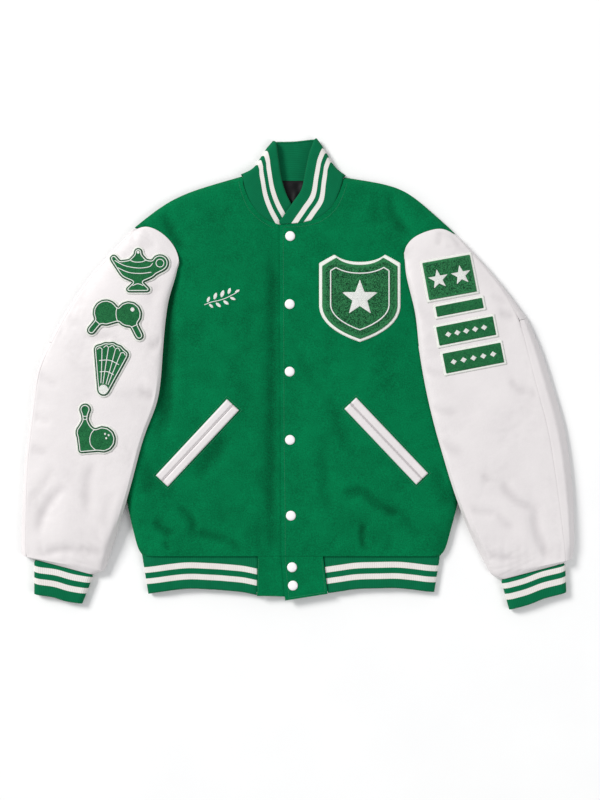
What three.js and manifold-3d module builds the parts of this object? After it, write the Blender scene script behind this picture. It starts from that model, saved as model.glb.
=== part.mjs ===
// Varsity jacket laid flat on its back, snapped shut, sleeves folded down over its sides.
// Millimetres. X runs across the jacket, Y up towards the collar, Z up off the table.
// Left and right in the names are the wearer's, so the left front lies at positive X.
import * as THREE from 'three';
import Module from 'manifold-3d';

const wasm = await Module();
wasm.setup();
const { Manifold, Mesh } = wasm;

// Cloth thicknesses and the gap left at every seam.
const WOOL = 2.5;
const LEATHER = 1.6;
const RIB_KNIT = 3;
const CUFF_KNIT = 2.6;
const LINING = 1;
const FELT = 1.4;
const CHENILLE = 2.4;
const GAP = 0.3;

// Heights of the lying jacket above the table.
const BODY_TOP = 18;
const PLACKET_TOP = 17;
const UNDERLAP_TOP = 13.7;
const SIDE_SEAM_HEIGHT = 8;
const SLEEVE_ON_BODY = 18.7;
const SLEEVE_HEIGHT = 27.5;
const SLEEVE_OUTER_HEIGHT = 21;
const CUFF_HEIGHT = 15;
const HEM_BAND_TOP = 14.6;

// Radii of the rolled edges.
const FRONT_ROLL = 22;
const BACK_ROLL = 9;

// Lengths along the jacket.
const HEM_SEAM_Y = -298;
const UNDERLAP_X = 6;
const SNAP_RADIUS = 8.5;
const RIB_RISE = 0.5;

// Side edges of the body, a row per height.
const SIDE_ROWS = [
  { y: -298, right: -257, left: 234 },
  { y: -290, right: -264, left: 242 },
  { y: -262, right: -272, left: 250 },
  { y: -231, right: -279, left: 258 },
  { y: -213, right: -283, left: 263 },
  { y: -158, right: -290, left: 269 },
  { y: -92, right: -294, left: 274 },
  { y: -8, right: -293, left: 275 },
];

// Shoulder seams from the neck out to the sleeve.
const SHOULDER_ROWS = [
  { rightX: -92, rightY: 330, leftX: 75, leftY: 328 },
  { rightX: -133, rightY: 318, leftX: 106, leftY: 323 },
  { rightX: -184, rightY: 302, leftX: 149, leftY: 315 },
  { rightX: -218, rightY: 285, leftX: 180, leftY: 303 },
  { rightX: -247, rightY: 264, leftX: 225, leftY: 266 },
  { rightX: -271, rightY: 245, leftX: 259, leftY: 235 },
];

// Armhole: the cap seam that shows, then the part hidden under the sleeve down to the pit.
const CAP_ROWS = [
  { rightX: -271, rightY: 245, leftX: 259, leftY: 235 },
  { rightX: -250, rightY: 243, leftX: 246, leftY: 238 },
  { rightX: -229, rightY: 234, leftX: 228, leftY: 239 },
  { rightX: -210, rightY: 216, leftX: 198, leftY: 229 },
  { rightX: -201, rightY: 199, leftX: 182, leftY: 216 },
  { rightX: -198, rightY: 184, leftX: 175, leftY: 199 },
];
const HIDDEN_ROWS = [
  { rightX: -198, rightY: 184, leftX: 175, leftY: 199 },
  { rightX: -211, rightY: 158, leftX: 188, leftY: 165 },
  { rightX: -231, rightY: 116, leftX: 209, leftY: 120 },
  { rightX: -253, rightY: 70, leftX: 232, leftY: 72 },
  { rightX: -277, rightY: 24, leftX: 258, leftY: 26 },
  { rightX: -293, rightY: -8, leftX: 275, leftY: -8 },
];
const BACK_ARMHOLE_ROWS = [
  { rightX: -271, rightY: 245, leftX: 259, leftY: 235 },
  { rightX: -246, rightY: 232, leftX: 232, leftY: 226 },
  { rightX: -226, rightY: 206, leftX: 209, leftY: 202 },
  { rightX: -219, rightY: 172, leftX: 201, leftY: 170 },
  { rightX: -231, rightY: 116, leftX: 211, leftY: 118 },
  { rightX: -253, rightY: 70, leftX: 232, leftY: 72 },
  { rightX: -277, rightY: 24, leftX: 258, leftY: 26 },
  { rightX: -293, rightY: -8, leftX: 275, leftY: -8 },
];

// Collar band, a row per station: seam side, free side, and the height of each above the table. The
// fold at each shoulder is drawn in by its waist, square to the row.
const COLLAR_RIGHT_ROWS = [
  { seamX: 4, seamY: 246, freeX: 3, freeY: 254, seamZ: 13.7, freeZ: 13.6 },
  { seamX: -13, seamY: 247, freeX: -3, freeY: 264, seamZ: 13.7, freeZ: 13.6 },
  { seamX: -35, seamY: 248.5, freeX: -10, freeY: 280, seamZ: 13.9, freeZ: 13.4 },
  { seamX: -57, seamY: 260, freeX: -20, freeY: 300, seamZ: 17.4, freeZ: 14 },
  { seamX: -75, seamY: 277, freeX: -27, freeY: 322, seamZ: 18, freeZ: 14.6 },
  { seamX: -85, seamY: 296, freeX: -31, freeY: 345, seamZ: 18, freeZ: 15 },
  { seamX: -91, seamY: 314, freeX: -34, freeY: 367, seamZ: 16.6, freeZ: 15 },
];
const COLLAR_BACK_ROWS = [
  { seamX: -92, seamY: 330, freeX: -37, freeY: 385, seamZ: 14, freeZ: 14, waist: 6.5 },
  { seamX: -95, seamY: 333, freeX: -42, freeY: 388.5, seamZ: 8, freeZ: 8, waist: 8 },
  { seamX: -91, seamY: 330.5, freeX: -38, freeY: 387.5, seamZ: 2.2, freeZ: 2.2, waist: 6.5 },
  { seamX: -71, seamY: 325, freeX: -33, freeY: 388, seamZ: 0, freeZ: 0 },
  { seamX: -41, seamY: 321, freeX: -23, freeY: 388, seamZ: 0, freeZ: 0 },
  { seamX: -11, seamY: 320, freeX: -7, freeY: 388.5, seamZ: 0, freeZ: 0 },
  { seamX: 19, seamY: 321, freeX: 8, freeY: 390, seamZ: 0, freeZ: 0 },
  { seamX: 50, seamY: 324, freeX: 20, freeY: 391.5, seamZ: 0, freeZ: 0 },
  { seamX: 74, seamY: 329, freeX: 26, freeY: 391.5, seamZ: 2.2, freeZ: 2.2, waist: -4.5 },
  { seamX: 78, seamY: 331, freeX: 30, freeY: 392.5, seamZ: 8, freeZ: 8, waist: -5.5 },
  { seamX: 75, seamY: 328, freeX: 26, freeY: 389, seamZ: 14, freeZ: 14, waist: -4.5 },
];
const COLLAR_LEFT_ROWS = [
  { seamX: 72, seamY: 314, freeX: 18, freeY: 367, seamZ: 16.6, freeZ: 17 },
  { seamX: 67, seamY: 299, freeX: 12, freeY: 341, seamZ: 18, freeZ: 17.6 },
  { seamX: 56, seamY: 278, freeX: 5, freeY: 308, seamZ: 18.8, freeZ: 18.4 },
  { seamX: 35, seamY: 260.5, freeX: -9, freeY: 286, seamZ: 18.8, freeZ: 18.8 },
  { seamX: 10, seamY: 252.5, freeX: -20, freeY: 270, seamZ: 18.8, freeZ: 18.8 },
  { seamX: -13, seamY: 250, freeX: -27, freeY: 260, seamZ: 18.8, freeZ: 18.8 },
  { seamX: -31, seamY: 249, freeX: -32, freeY: 254, seamZ: 18.8, freeZ: 18.8 },
];

// Sleeve sections from the shoulder to the cuff: the edge that lies inwards, the outer edge, and the
// line beneath that comes down from the pit.
const RIGHT_SLEEVE_ROWS = [
  { inX: -198, inY: 184, outX: -272, outY: 246, pitX: -293, pitY: -8 },
  { inX: -202, inY: 162, outX: -297, outY: 219, pitX: -297, pitY: -26 },
  { inX: -210, inY: 138, outX: -331, outY: 182, pitX: -302, pitY: -40 },
  { inX: -217, inY: 111, outX: -366, outY: 138, pitX: -308, pitY: -52 },
  { inX: -221, inY: 68, outX: -392, outY: 95, pitX: -315, pitY: -64 },
  { inX: -224, inY: 30, outX: -417, outY: 46, pitX: -322, pitY: -77 },
  { inX: -226, inY: -5, outX: -436, outY: 6, pitX: -328, pitY: -90 },
  { inX: -231, inY: -46, outX: -441, outY: -42, pitX: -332, pitY: -105 },
  { inX: -248, inY: -82, outX: -446, outY: -84, pitX: -338, pitY: -122 },
  { inX: -259, inY: -115, outX: -452, outY: -125, pitX: -345, pitY: -143 },
  { inX: -268, inY: -152, outX: -455, outY: -172, pitX: -352, pitY: -168 },
  { inX: -278, inY: -190, outX: -457, outY: -216, pitX: -358, pitY: -196 },
  { inX: -294, inY: -242, outX: -458, outY: -255, pitX: -366, pitY: -235 },
  { inX: -309, inY: -288, outX: -459, outY: -281, pitX: -374, pitY: -275 },
  { inX: -321, inY: -322, outX: -458, outY: -297, pitX: -381, pitY: -308 },
];
const LEFT_SLEEVE_ROWS = [
  { inX: 175, inY: 199, outX: 260, outY: 236, pitX: 275, pitY: -8 },
  { inX: 176, inY: 170, outX: 276, outY: 219, pitX: 279, pitY: -26 },
  { inX: 182, inY: 144, outX: 298, outY: 195, pitX: 284, pitY: -40 },
  { inX: 189, inY: 118, outX: 328, outY: 161, pitX: 290, pitY: -52 },
  { inX: 196, inY: 84, outX: 356, outY: 126, pitX: 297, pitY: -64 },
  { inX: 198, inY: 40, outX: 383, outY: 86, pitX: 304, pitY: -77 },
  { inX: 205, inY: 0, outX: 404, outY: 38, pitX: 311, pitY: -91 },
  { inX: 213, inY: -40, outX: 420, outY: -19, pitX: 318, pitY: -107 },
  { inX: 224, inY: -86, outX: 433, outY: -58, pitX: 326, pitY: -126 },
  { inX: 235, inY: -122, outX: 442, outY: -94, pitX: 333, pitY: -147 },
  { inX: 245, inY: -158, outX: 451, outY: -155, pitX: 340, pitY: -172 },
  { inX: 260, inY: -206, outX: 455, outY: -207, pitX: 349, pitY: -200 },
  { inX: 278, inY: -249, outX: 456, outY: -255, pitX: 360, pitY: -238 },
  { inX: 297, inY: -289, outX: 456, outY: -281, pitX: 372, pitY: -277 },
  { inX: 319, inY: -330, outX: 453, outY: -303, pitX: 386, pitY: -316 },
];

// Where the elbow seam runs, as a share of the sleeve's width from the inner edge.
const ELBOW_SEAM_ROWS = [
  { ring: 0, right: 0.95, left: 0.965 },
  { ring: 4, right: 0.965, left: 0.955 },
  { ring: 6, right: 0.97, left: 0.87 },
  { ring: 10, right: 0.96, left: 0.855 },
  { ring: 14, right: 0.93, left: 0.9 },
];

// Cuff corners at the sleeve and at the opening.
const CUFFS = {
  right: {
    topInX: -339, topInY: -329, topOutX: -437, topOutY: -303,
    endInX: -358, endInY: -377, endOutX: -437, endOutY: -361,
  },
  left: {
    topInX: 335, topInY: -337, topOutX: 441, topOutY: -309,
    endInX: 349, endInY: -387, endOutX: 443, endOutY: -358,
  },
};

// Folds in the cloth: a soft ridge or trough from one point to another.
const BODY_FOLDS = [
  { fromX: -215, fromY: 276, toX: -188, toY: 214, rise: -2.2, width: 11 },
  { fromX: -150, fromY: 292, toX: -138, toY: 262, rise: -1.2, width: 16 },
  { fromX: -190, fromY: 196, toX: -206, toY: 20, rise: -1.8, width: 12 },
  { fromX: -68, fromY: 110, toX: -83, toY: 35, rise: 1.0, width: 16 },
  { fromX: -199, fromY: -219, toX: -166, toY: -264, rise: -1.8, width: 11 },
  { fromX: -166, fromY: -264, toX: -95, toY: -284, rise: -1.6, width: 10 },
  { fromX: -222, fromY: -262, toX: -190, toY: -286, rise: 1.6, width: 12 },
  { fromX: -120, fromY: -92, toX: -168, toY: -166, rise: -1.0, width: 14 },
  { fromX: -150, fromY: -215, toX: -110, toY: -240, rise: 1.3, width: 20 },
  { fromX: 4, fromY: 35, toX: 44, toY: -34, rise: -1.2, width: 13 },
  { fromX: 44, fromY: -34, toX: 72, toY: -118, rise: -1.0, width: 13 },
  { fromX: 44, fromY: -90, toX: 49, toY: -219, rise: -1.1, width: 11 },
  { fromX: 75, fromY: -195, toX: 106, toY: -188, rise: -2.2, width: 10 },
  { fromX: 106, fromY: -188, toX: 171, toY: -228, rise: -2.2, width: 11 },
  { fromX: 92, fromY: -214, toX: 160, toY: -250, rise: 1.5, width: 15 },
  { fromX: 111, fromY: -252, toX: 110, toY: -288, rise: -1.4, width: 9 },
  { fromX: 180, fromY: -262, toX: 172, toY: -288, rise: -1.3, width: 9 },
  { fromX: 152, fromY: 297, toX: 168, toY: 262, rise: -2.0, width: 12 },
  { fromX: 126, fromY: 284, toX: 140, toY: 250, rise: -1.2, width: 16 },
  { fromX: -42, fromY: 110, toX: -42, toY: -290, rise: -0.8, width: 9 },
];
const RIGHT_SLEEVE_FOLDS = [
  { fromX: -351, fromY: 66, toX: -292, toY: 56, rise: -2.2, width: 12 },
  { fromX: -345, fromY: -30, toX: -250, toY: -28, rise: -1.8, width: 13 },
  { fromX: -385, fromY: -182, toX: -428, toY: -258, rise: -2.4, width: 13 },
  { fromX: -337, fromY: -144, toX: -346, toY: -226, rise: -1.8, width: 12 },
  { fromX: -366, fromY: -188, toX: -392, toY: -262, rise: 1.8, width: 13 },
  { fromX: -412, fromY: -285, toX: -340, toY: -285, rise: -2.0, width: 10 },
  { fromX: -420, fromY: 10, toX: -395, toY: -60, rise: -1.6, width: 12 },
  { fromX: -300, fromY: -240, toX: -330, toY: -290, rise: 1.4, width: 12 },
];
const LEFT_SLEEVE_FOLDS = [
  { fromX: 331, fromY: 106, toX: 357, toY: 98, rise: -1.8, width: 10 },
  { fromX: 345, fromY: -4, toX: 380, toY: -30, rise: -1.8, width: 11 },
  { fromX: 260, fromY: -34, toX: 330, toY: -40, rise: -1.5, width: 12 },
  { fromX: 335, fromY: -179, toX: 388, toY: -219, rise: -2.3, width: 12 },
  { fromX: 388, fromY: -219, toX: 414, toY: -296, rise: -2.3, width: 12 },
  { fromX: 302, fromY: -162, toX: 314, toY: -178, rise: -1.4, width: 11 },
  { fromX: 286, fromY: -219, toX: 328, toY: -224, rise: -2.0, width: 11 },
  { fromX: 350, fromY: -240, toX: 380, toY: -290, rise: 1.8, width: 13 },
  { fromX: 352, fromY: 40, toX: 300, toY: -80, rise: 1.2, width: 20 },
];

// Snap caps down the left front, top to bottom.
const SNAPS = [
  { x: -13.7, y: 229.7 },
  { x: -14.5, y: 117.6 },
  { x: -14.5, y: 6.4 },
  { x: -14, y: -106.1 },
  { x: -12.5, y: -231 },
  { x: -10.6, y: -316 },
  { x: -9.2, y: -346.2 },
];

// Slanted pockets: middle, turn of the long side in degrees, length and width over both lips.
const POCKETS = [
  { name: 'right', x: -166.5, y: -111, turn: 47, length: 172, width: 27 },
  { name: 'left', x: 144.5, y: -108, turn: -46.5, length: 172, width: 27 },
];
const SLIT = 1.6;
const LIP = 3;

// Patches on the sleeves: middle and turn.
const SLEEVE_PATCHES = [
  { name: 'lamp', x: -263, y: 176, turn: 0 },
  { name: 'paddles', x: -298, y: 95, turn: 0 },
  { name: 'shuttlecock', x: -313, y: 9, turn: -12 },
  { name: 'pin', x: -337, y: -88, turn: 0 },
];
const PLATE = { x: 248, y: 161, turn: 10.5, width: 88, height: 70 };
const BARS = [
  { x: 264.3, y: 111.7, width: 86, height: 25 },
  { x: 275.1, y: 72.9, width: 103, height: 39 },
  { x: 286.9, y: 28.5, width: 105, height: 41 },
];
const BAR_TURN = 11;
const FELT_MARGIN = 4;

// Numbers and curves.

function clamp(value, low, high) {
  return Math.min(Math.max(value, low), high);
}

function mix(a, b, share) {
  return a + (b - a) * share;
}

function ease(share) {
  const t = clamp(share, 0, 1);
  return t * t * (3 - 2 * t);
}

// Height share of a rounded edge at a distance from it.
function roll(distance, radius) {
  const rest = 1 - clamp(distance / radius, 0, 1);
  return Math.sqrt(1 - rest * rest);
}

// Value of a table column between its rows.
function tableValue(rows, key, column, at) {
  let row = 0;
  while (row < rows.length - 2 && rows[row + 1][key] < at) {
    row += 1;
  }
  const share = clamp((at - rows[row][key]) / (rows[row + 1][key] - rows[row][key]), 0, 1);
  return mix(rows[row][column], rows[row + 1][column], share);
}

function pointsOf(rows, side) {
  return rows.map((row) => new THREE.Vector2(row[side + 'X'], row[side + 'Y']));
}

function sidePoints(side) {
  return SIDE_ROWS.map((row) => new THREE.Vector2(row[side], row.y));
}

function sample(points, shares) {
  const curve = new THREE.SplineCurve(points);
  return shares.map((share) => curve.getPointAt(share));
}

function even(count) {
  return Array.from({ length: count + 1 }, (_, index) => index / count);
}

function joined(...lists) {
  return lists.reduce((all, list) => all.concat(all.length ? list.slice(1) : list), []);
}

function lengthShares(points) {
  const sums = [0];
  for (let index = 1; index < points.length; index += 1) {
    sums.push(sums[index - 1] + points[index].distanceTo(points[index - 1]));
  }
  return sums.map((sum) => sum / sums[sums.length - 1]);
}

// How fast the columns of a panel spread out below its upper edge.
const SPREAD = 3;

// Grid of plan points between four edges. Columns run from first to last, rows from low to high.
function patch(low, high, first, last) {
  const lowShares = lengthShares(low);
  const highShares = lengthShares(high);
  const firstShares = lengthShares(first);
  const lastShares = lengthShares(last);
  return low.map((_, i) => first.map((__, j) => {
    const v = mix(firstShares[j], lastShares[j], mix(lowShares[i], highShares[i], firstShares[j]));
    const u = mix(lowShares[i], highShares[i], v);
    const coordinate = (axis) => {
      const rise = axis === 'x' ? v ** SPREAD : v;
      const ruled = (column) => mix(low[column][axis], high[column][axis], rise);
      const firstBend = first[j][axis] - ruled(0);
      const lastBend = last[j][axis] - ruled(low.length - 1);
      return ruled(i) + firstBend * (1 - u) ** 2 + lastBend * u ** 2;
    };
    return new THREE.Vector2(coordinate('x'), coordinate('y'));
  }));
}

function distanceToLine(points, x, y) {
  let best = Infinity;
  for (let index = 1; index < points.length; index += 1) {
    const a = points[index - 1];
    const b = points[index];
    const dx = b.x - a.x;
    const dy = b.y - a.y;
    const share = clamp(((x - a.x) * dx + (y - a.y) * dy) / (dx * dx + dy * dy), 0, 1);
    best = Math.min(best, Math.hypot(x - a.x - share * dx, y - a.y - share * dy));
  }
  return best;
}

function foldHeight(folds, x, y) {
  return folds.reduce((sum, fold) => {
    const ends = [new THREE.Vector2(fold.fromX, fold.fromY), new THREE.Vector2(fold.toX, fold.toY)];
    return sum + fold.rise * Math.exp(-((distanceToLine(ends, x, y) / fold.width) ** 2));
  }, 0);
}

// Meshes.

function toMesh(name, positions, indices, material) {
  const geometry = new THREE.BufferGeometry();
  geometry.setAttribute('position', new THREE.Float32BufferAttribute(positions, 3));
  geometry.setIndex(indices);
  geometry.computeVertexNormals();
  const mesh = new THREE.Mesh(geometry, material.clone());
  mesh.name = name;
  return mesh;
}

function signedVolume(positions, indices) {
  let volume = 0;
  const corner = (index) => new THREE.Vector3().fromArray(positions, index * 3);
  for (let index = 0; index < indices.length; index += 3) {
    const a = corner(indices[index]);
    const b = corner(indices[index + 1]);
    const c = corner(indices[index + 2]);
    volume += a.dot(b.cross(c));
  }
  return volume;
}

// Outward directions of a grid. Level edges get a direction with no rise, for a clean seam.
function gridNormals(grid, sign, closed, level) {
  const columns = grid.length;
  const rows = grid[0].length;
  return grid.map((column, i) => column.map((_, j) => {
    const before = closed ? grid[(i + columns - 1) % columns] : grid[Math.max(i - 1, 0)];
    const after = closed ? grid[(i + 1) % columns] : grid[Math.min(i + 1, columns - 1)];
    const across = after[j].clone().sub(before[j]);
    const along = column[Math.min(j + 1, rows - 1)].clone().sub(column[Math.max(j - 1, 0)]);
    const normal = across.cross(along).multiplyScalar(sign);
    const isLevel = (i === 0 && level.first) || (i === columns - 1 && level.last)
      || (j === 0 && level.low) || (j === rows - 1 && level.high && level.high(i));
    if (isLevel) {
      normal.z = 0;
    }
    return normal.normalize();
  }));
}

// Closed solid between a grid of outer points and the same grid moved in by the wall. Each cell is split
// along its shorter diagonal.
function wall(name, grid, normals, thickness, material, closed = false) {
  const columns = grid.length;
  const rows = grid[0].length;
  const positions = [];
  const put = (point) => {
    positions.push(point.x, point.y, point.z);
  };
  grid.forEach((column) => column.forEach(put));
  grid.forEach((column, i) => column.forEach((point, j) => {
    const depth = typeof thickness === 'number' ? thickness : thickness(i, j);
    put(point.clone().addScaledVector(normals[i][j], -depth));
  }));
  const outer = (i, j) => (i % columns) * rows + j;
  const inner = (i, j) => columns * rows + outer(i, j);
  const indices = [];
  const pointAt = (index) => new THREE.Vector3().fromArray(positions, index * 3);
  const span = (from, to) => pointAt(from).distanceTo(pointAt(to));
  const quad = (a, b, c, d) => {
    if (span(a, c) <= span(b, d)) {
      indices.push(a, b, c, a, c, d);
    } else {
      indices.push(a, b, d, b, c, d);
    }
  };
  const spans = closed ? columns : columns - 1;
  for (let i = 0; i < spans; i += 1) {
    for (let j = 0; j < rows - 1; j += 1) {
      quad(outer(i, j), outer(i + 1, j), outer(i + 1, j + 1), outer(i, j + 1));
      quad(inner(i, j), inner(i, j + 1), inner(i + 1, j + 1), inner(i + 1, j));
    }
    quad(outer(i + 1, 0), outer(i, 0), inner(i, 0), inner(i + 1, 0));
    quad(outer(i, rows - 1), outer(i + 1, rows - 1), inner(i + 1, rows - 1), inner(i, rows - 1));
  }
  if (!closed) {
    for (let j = 0; j < rows - 1; j += 1) {
      quad(outer(0, j), outer(0, j + 1), inner(0, j + 1), inner(0, j));
      const last = columns - 1;
      quad(outer(last, j + 1), outer(last, j), inner(last, j), inner(last, j + 1));
    }
  }
  if (signedVolume(positions, indices) < 0) {
    for (let index = 0; index < indices.length; index += 3) {
      [indices[index], indices[index + 1]] = [indices[index + 1], indices[index]];
    }
  }
  return toMesh(name, positions, indices, material);
}

function toManifold(mesh) {
  return new Manifold(new Mesh({
    numProp: 3,
    vertProperties: new Float32Array(mesh.geometry.attributes.position.array),
    triVerts: new Uint32Array(mesh.geometry.index.array),
  }));
}

function fromManifold(name, solid, material) {
  const data = solid.getMesh();
  return toMesh(name, Array.from(data.vertProperties), Array.from(data.triVerts), material);
}

// Height of a grid surface over a plan point, or nothing where the grid doesn't reach.
function surfaceHeight(grid, x, y) {
  for (let i = 0; i < grid.length - 1; i += 1) {
    for (let j = 0; j < grid[0].length - 1; j += 1) {
      const corners = [grid[i][j], grid[i + 1][j], grid[i + 1][j + 1], grid[i][j + 1]];
      for (const turn of [1, 2]) {
        const [a, b, c] = [corners[0], corners[turn], corners[turn + 1]];
        const area = (b.x - a.x) * (c.y - a.y) - (c.x - a.x) * (b.y - a.y);
        const p = ((x - a.x) * (c.y - a.y) - (c.x - a.x) * (y - a.y)) / area;
        const q = ((b.x - a.x) * (y - a.y) - (x - a.x) * (b.y - a.y)) / area;
        if (p >= 0 && q >= 0 && p + q <= 1) {
          return a.z + p * (b.z - a.z) + q * (c.z - a.z);
        }
      }
    }
  }
  return null;
}

function highestNear(grid, x, y, reach) {
  let best = 0;
  for (const dx of [-reach, 0, reach]) {
    for (const dy of [-reach, 0, reach]) {
      best = Math.max(best, surfaceHeight(grid, x + dx, y + dy) ?? 0);
    }
  }
  return best;
}

// Piece sewn onto a panel: the panel's own cells moved out, cut to an outline.
function applique(name, grid, outline, place, lift, thickness, material) {
  const prism = new THREE.ExtrudeGeometry(outline, { depth: 80, bevelEnabled: false, curveSegments: 8 });
  prism.rotateZ(THREE.MathUtils.degToRad(place.turn ?? 0));
  prism.translate(place.x, place.y, -10);
  prism.computeBoundingBox();
  const box = prism.boundingBox;
  const reach = { first: Infinity, last: 0, low: Infinity, high: 0 };
  for (let i = 0; i < grid.length - 1; i += 1) {
    for (let j = 0; j < grid[0].length - 1; j += 1) {
      const corners = [grid[i][j], grid[i + 1][j], grid[i + 1][j + 1], grid[i][j + 1]];
      const xs = corners.map((point) => point.x);
      const ys = corners.map((point) => point.y);
      const meets = Math.min(...xs) < box.max.x && Math.max(...xs) > box.min.x
        && Math.min(...ys) < box.max.y && Math.max(...ys) > box.min.y;
      if (meets) {
        reach.first = Math.min(reach.first, i);
        reach.last = Math.max(reach.last, i + 1);
        reach.low = Math.min(reach.low, j);
        reach.high = Math.max(reach.high, j + 1);
      }
    }
  }
  const cells = grid.slice(reach.first, reach.last + 1)
    .map((column) => column.slice(reach.low, reach.high + 1)
      .map((point) => new THREE.Vector3(point.x, point.y, point.z + lift + thickness)));
  const up = cells.map((column) => column.map(() => new THREE.Vector3(0, 0, 1)));
  const slab = toManifold(wall('slab', cells, up, thickness, material));
  const welded = new Map();
  const corners = [];
  const order = [];
  const source = prism.attributes.position;
  for (let index = 0; index < source.count; index += 1) {
    const values = [source.getX(index), source.getY(index), source.getZ(index)];
    const key = values.map((value) => value.toFixed(4)).join(' ');
    if (!welded.has(key)) {
      welded.set(key, corners.length / 3);
      corners.push(...values);
    }
    order.push(welded.get(key));
  }
  const cutter = new Manifold(new Mesh({
    numProp: 3,
    vertProperties: new Float32Array(corners),
    triVerts: new Uint32Array(order),
  }));
  return fromManifold(name, Manifold.intersection(slab, cutter), material);
}

// Materials.

function cloth(color, roughness) {
  return new THREE.MeshStandardMaterial({ color, roughness, metalness: 0 });
}

const wool = cloth(0x0a6840, 0.95);
const knit = cloth(0x12502f, 0.95);
const leather = cloth(0xdcdad6, 0.55);
const white = cloth(0xe8eee8, 0.9);
const chenille = cloth(0x287a48, 1);
const satin = cloth(0x0b0b0c, 0.45);
const cap = cloth(0xf4f1f2, 0.35);

const group = new THREE.Group();
group.name = 'varsity_jacket';

// Body fronts.

const edges = { right: sidePoints('right'), left: sidePoints('left') };
const shoulders = { right: pointsOf(SHOULDER_ROWS, 'right'), left: pointsOf(SHOULDER_ROWS, 'left') };

function edgeDistance(side, x, y) {
  return Math.min(distanceToLine(edges[side], x, y), distanceToLine(shoulders[side], x, y));
}

const NECK_SPANS = 7;
const SHOULDER_SHARES = [0, 0.16, 0.32, 0.48, 0.64, 0.78, 0.89, 0.96, 1];
const SIDE_SHARES = [0, 0.04, 0.1, 0.19, 0.29, 0.4, 0.52, 0.64, 0.76, 0.88, 1];
const CAP_SHARES = [0, 0.22, 0.45, 0.68, 0.86, 0.95, 1];
const HIDDEN_SPANS = 4;
const NECK_SHARE = 0.5;

// Placket edge of the upper front and of the one beneath, a row per height.
const PLACKET_ROWS = [
  { y: -374, left: -24, right: UNDERLAP_X + 2 },
  { y: -298, left: -28, right: UNDERLAP_X + 2 },
  { y: -108, left: -30, right: UNDERLAP_X },
  { y: 250, left: -31, right: UNDERLAP_X - 2 },
];

function frontHeight(side, x, y) {
  const round = roll(edgeDistance(side, x, y), FRONT_ROLL);
  const under = ease((x + 76) / 34);
  const near = side === 'left'
    ? mix(BODY_TOP, PLACKET_TOP, ease((8 - x) / 30))
    : mix(BODY_TOP, UNDERLAP_TOP, under);
  const hem = 1 - ease((y - HEM_SEAM_Y) / 16);
  const level = Math.min(near, mix(near, PLACKET_TOP, hem));
  const calm = ease((edgeDistance(side, x, y) - 4) / 20) * (side === 'right' ? 1 - under : 1);
  const folds = foldHeight(BODY_FOLDS, x, y) * calm * ease((y - HEM_SEAM_Y) / 14);
  return SIDE_SEAM_HEIGHT + GAP / 2 + (level - SIDE_SEAM_HEIGHT) * round + folds;
}

function neckPoints(side) {
  const rows = side === 'right'
    ? COLLAR_RIGHT_ROWS.concat(COLLAR_BACK_ROWS[0])
    : COLLAR_LEFT_ROWS.slice().reverse().concat(COLLAR_BACK_ROWS[COLLAR_BACK_ROWS.length - 1]);
  return rows.map((row) => new THREE.Vector2(row.seamX, row.seamY));
}

function frontGrid(side) {
  const hemIn = new THREE.Vector2(tableValue(PLACKET_ROWS, 'y', side, HEM_SEAM_Y), HEM_SEAM_Y);
  const neck = neckPoints(side);
  const hemOut = edges[side][0];
  const lowShares = joined(
    even(NECK_SPANS).map((share) => share * NECK_SHARE),
    SHOULDER_SHARES.map((share) => mix(NECK_SHARE, 1, share)),
  );
  const low = lowShares.map((share) => hemIn.clone().lerp(hemOut, share));
  const high = joined(neck, sample(shoulders[side], SHOULDER_SHARES));
  const hidden = pointsOf(HIDDEN_ROWS, side).reverse();
  const capSeam = pointsOf(CAP_ROWS, side).reverse();
  const last = joined(
    sample(edges[side], SIDE_SHARES),
    sample(hidden, even(HIDDEN_SPANS)),
    sample(capSeam, CAP_SHARES),
  );
  const shares = lengthShares(last);
  const first = shares.map((share) => hemIn.clone().lerp(neck[0], share));
  return patch(low, high, first, last).map((column) => column.map((point) => (
    new THREE.Vector3(point.x, point.y, frontHeight(side, point.x, point.y))
  )));
}

const sideRows = SIDE_SHARES.length - 1;

function front(side) {
  const grid = frontGrid(side);
  const normals = gridNormals(grid, side === 'left' ? 1 : -1, false, { high: (i) => i >= NECK_SPANS });
  const lastColumn = grid.length - 1;
  for (let i = 0; i < NECK_SPANS; i += 1) {
    normals[i].slice(-3).forEach((normal) => normal.set(0, 0, 1));
  }
  for (let j = 0; j <= sideRows; j += 1) {
    normals[lastColumn][j].setZ(0).normalize();
  }
  return { grid, mesh: wall('front_' + side, grid, normals, WOOL, wool) };
}

const fronts = { right: front('right'), left: front('left') };
group.add(fronts.right.mesh, fronts.left.mesh);

// Back panel, its outer face down on the table.

function backHeight(side, x, y) {
  const seam = SIDE_SEAM_HEIGHT - GAP / 2;
  return seam - seam * roll(edgeDistance(side, x, y), BACK_ROLL);
}

const BACK_NECK_SPANS = 6;
const BACK_SHOULDER_SHARES = [0, 0.3, 0.6, 0.85, 0.96, 1];
const BACK_SIDE_SHARES = [0, 0.06, 0.3, 0.6, 0.9, 1];
const BACK_ARM_SHARES = [0, 0.1, 0.28, 0.5, 0.72, 0.9, 1];
const BACK_NECK_SHARE = [0.32, 0.68];

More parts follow.
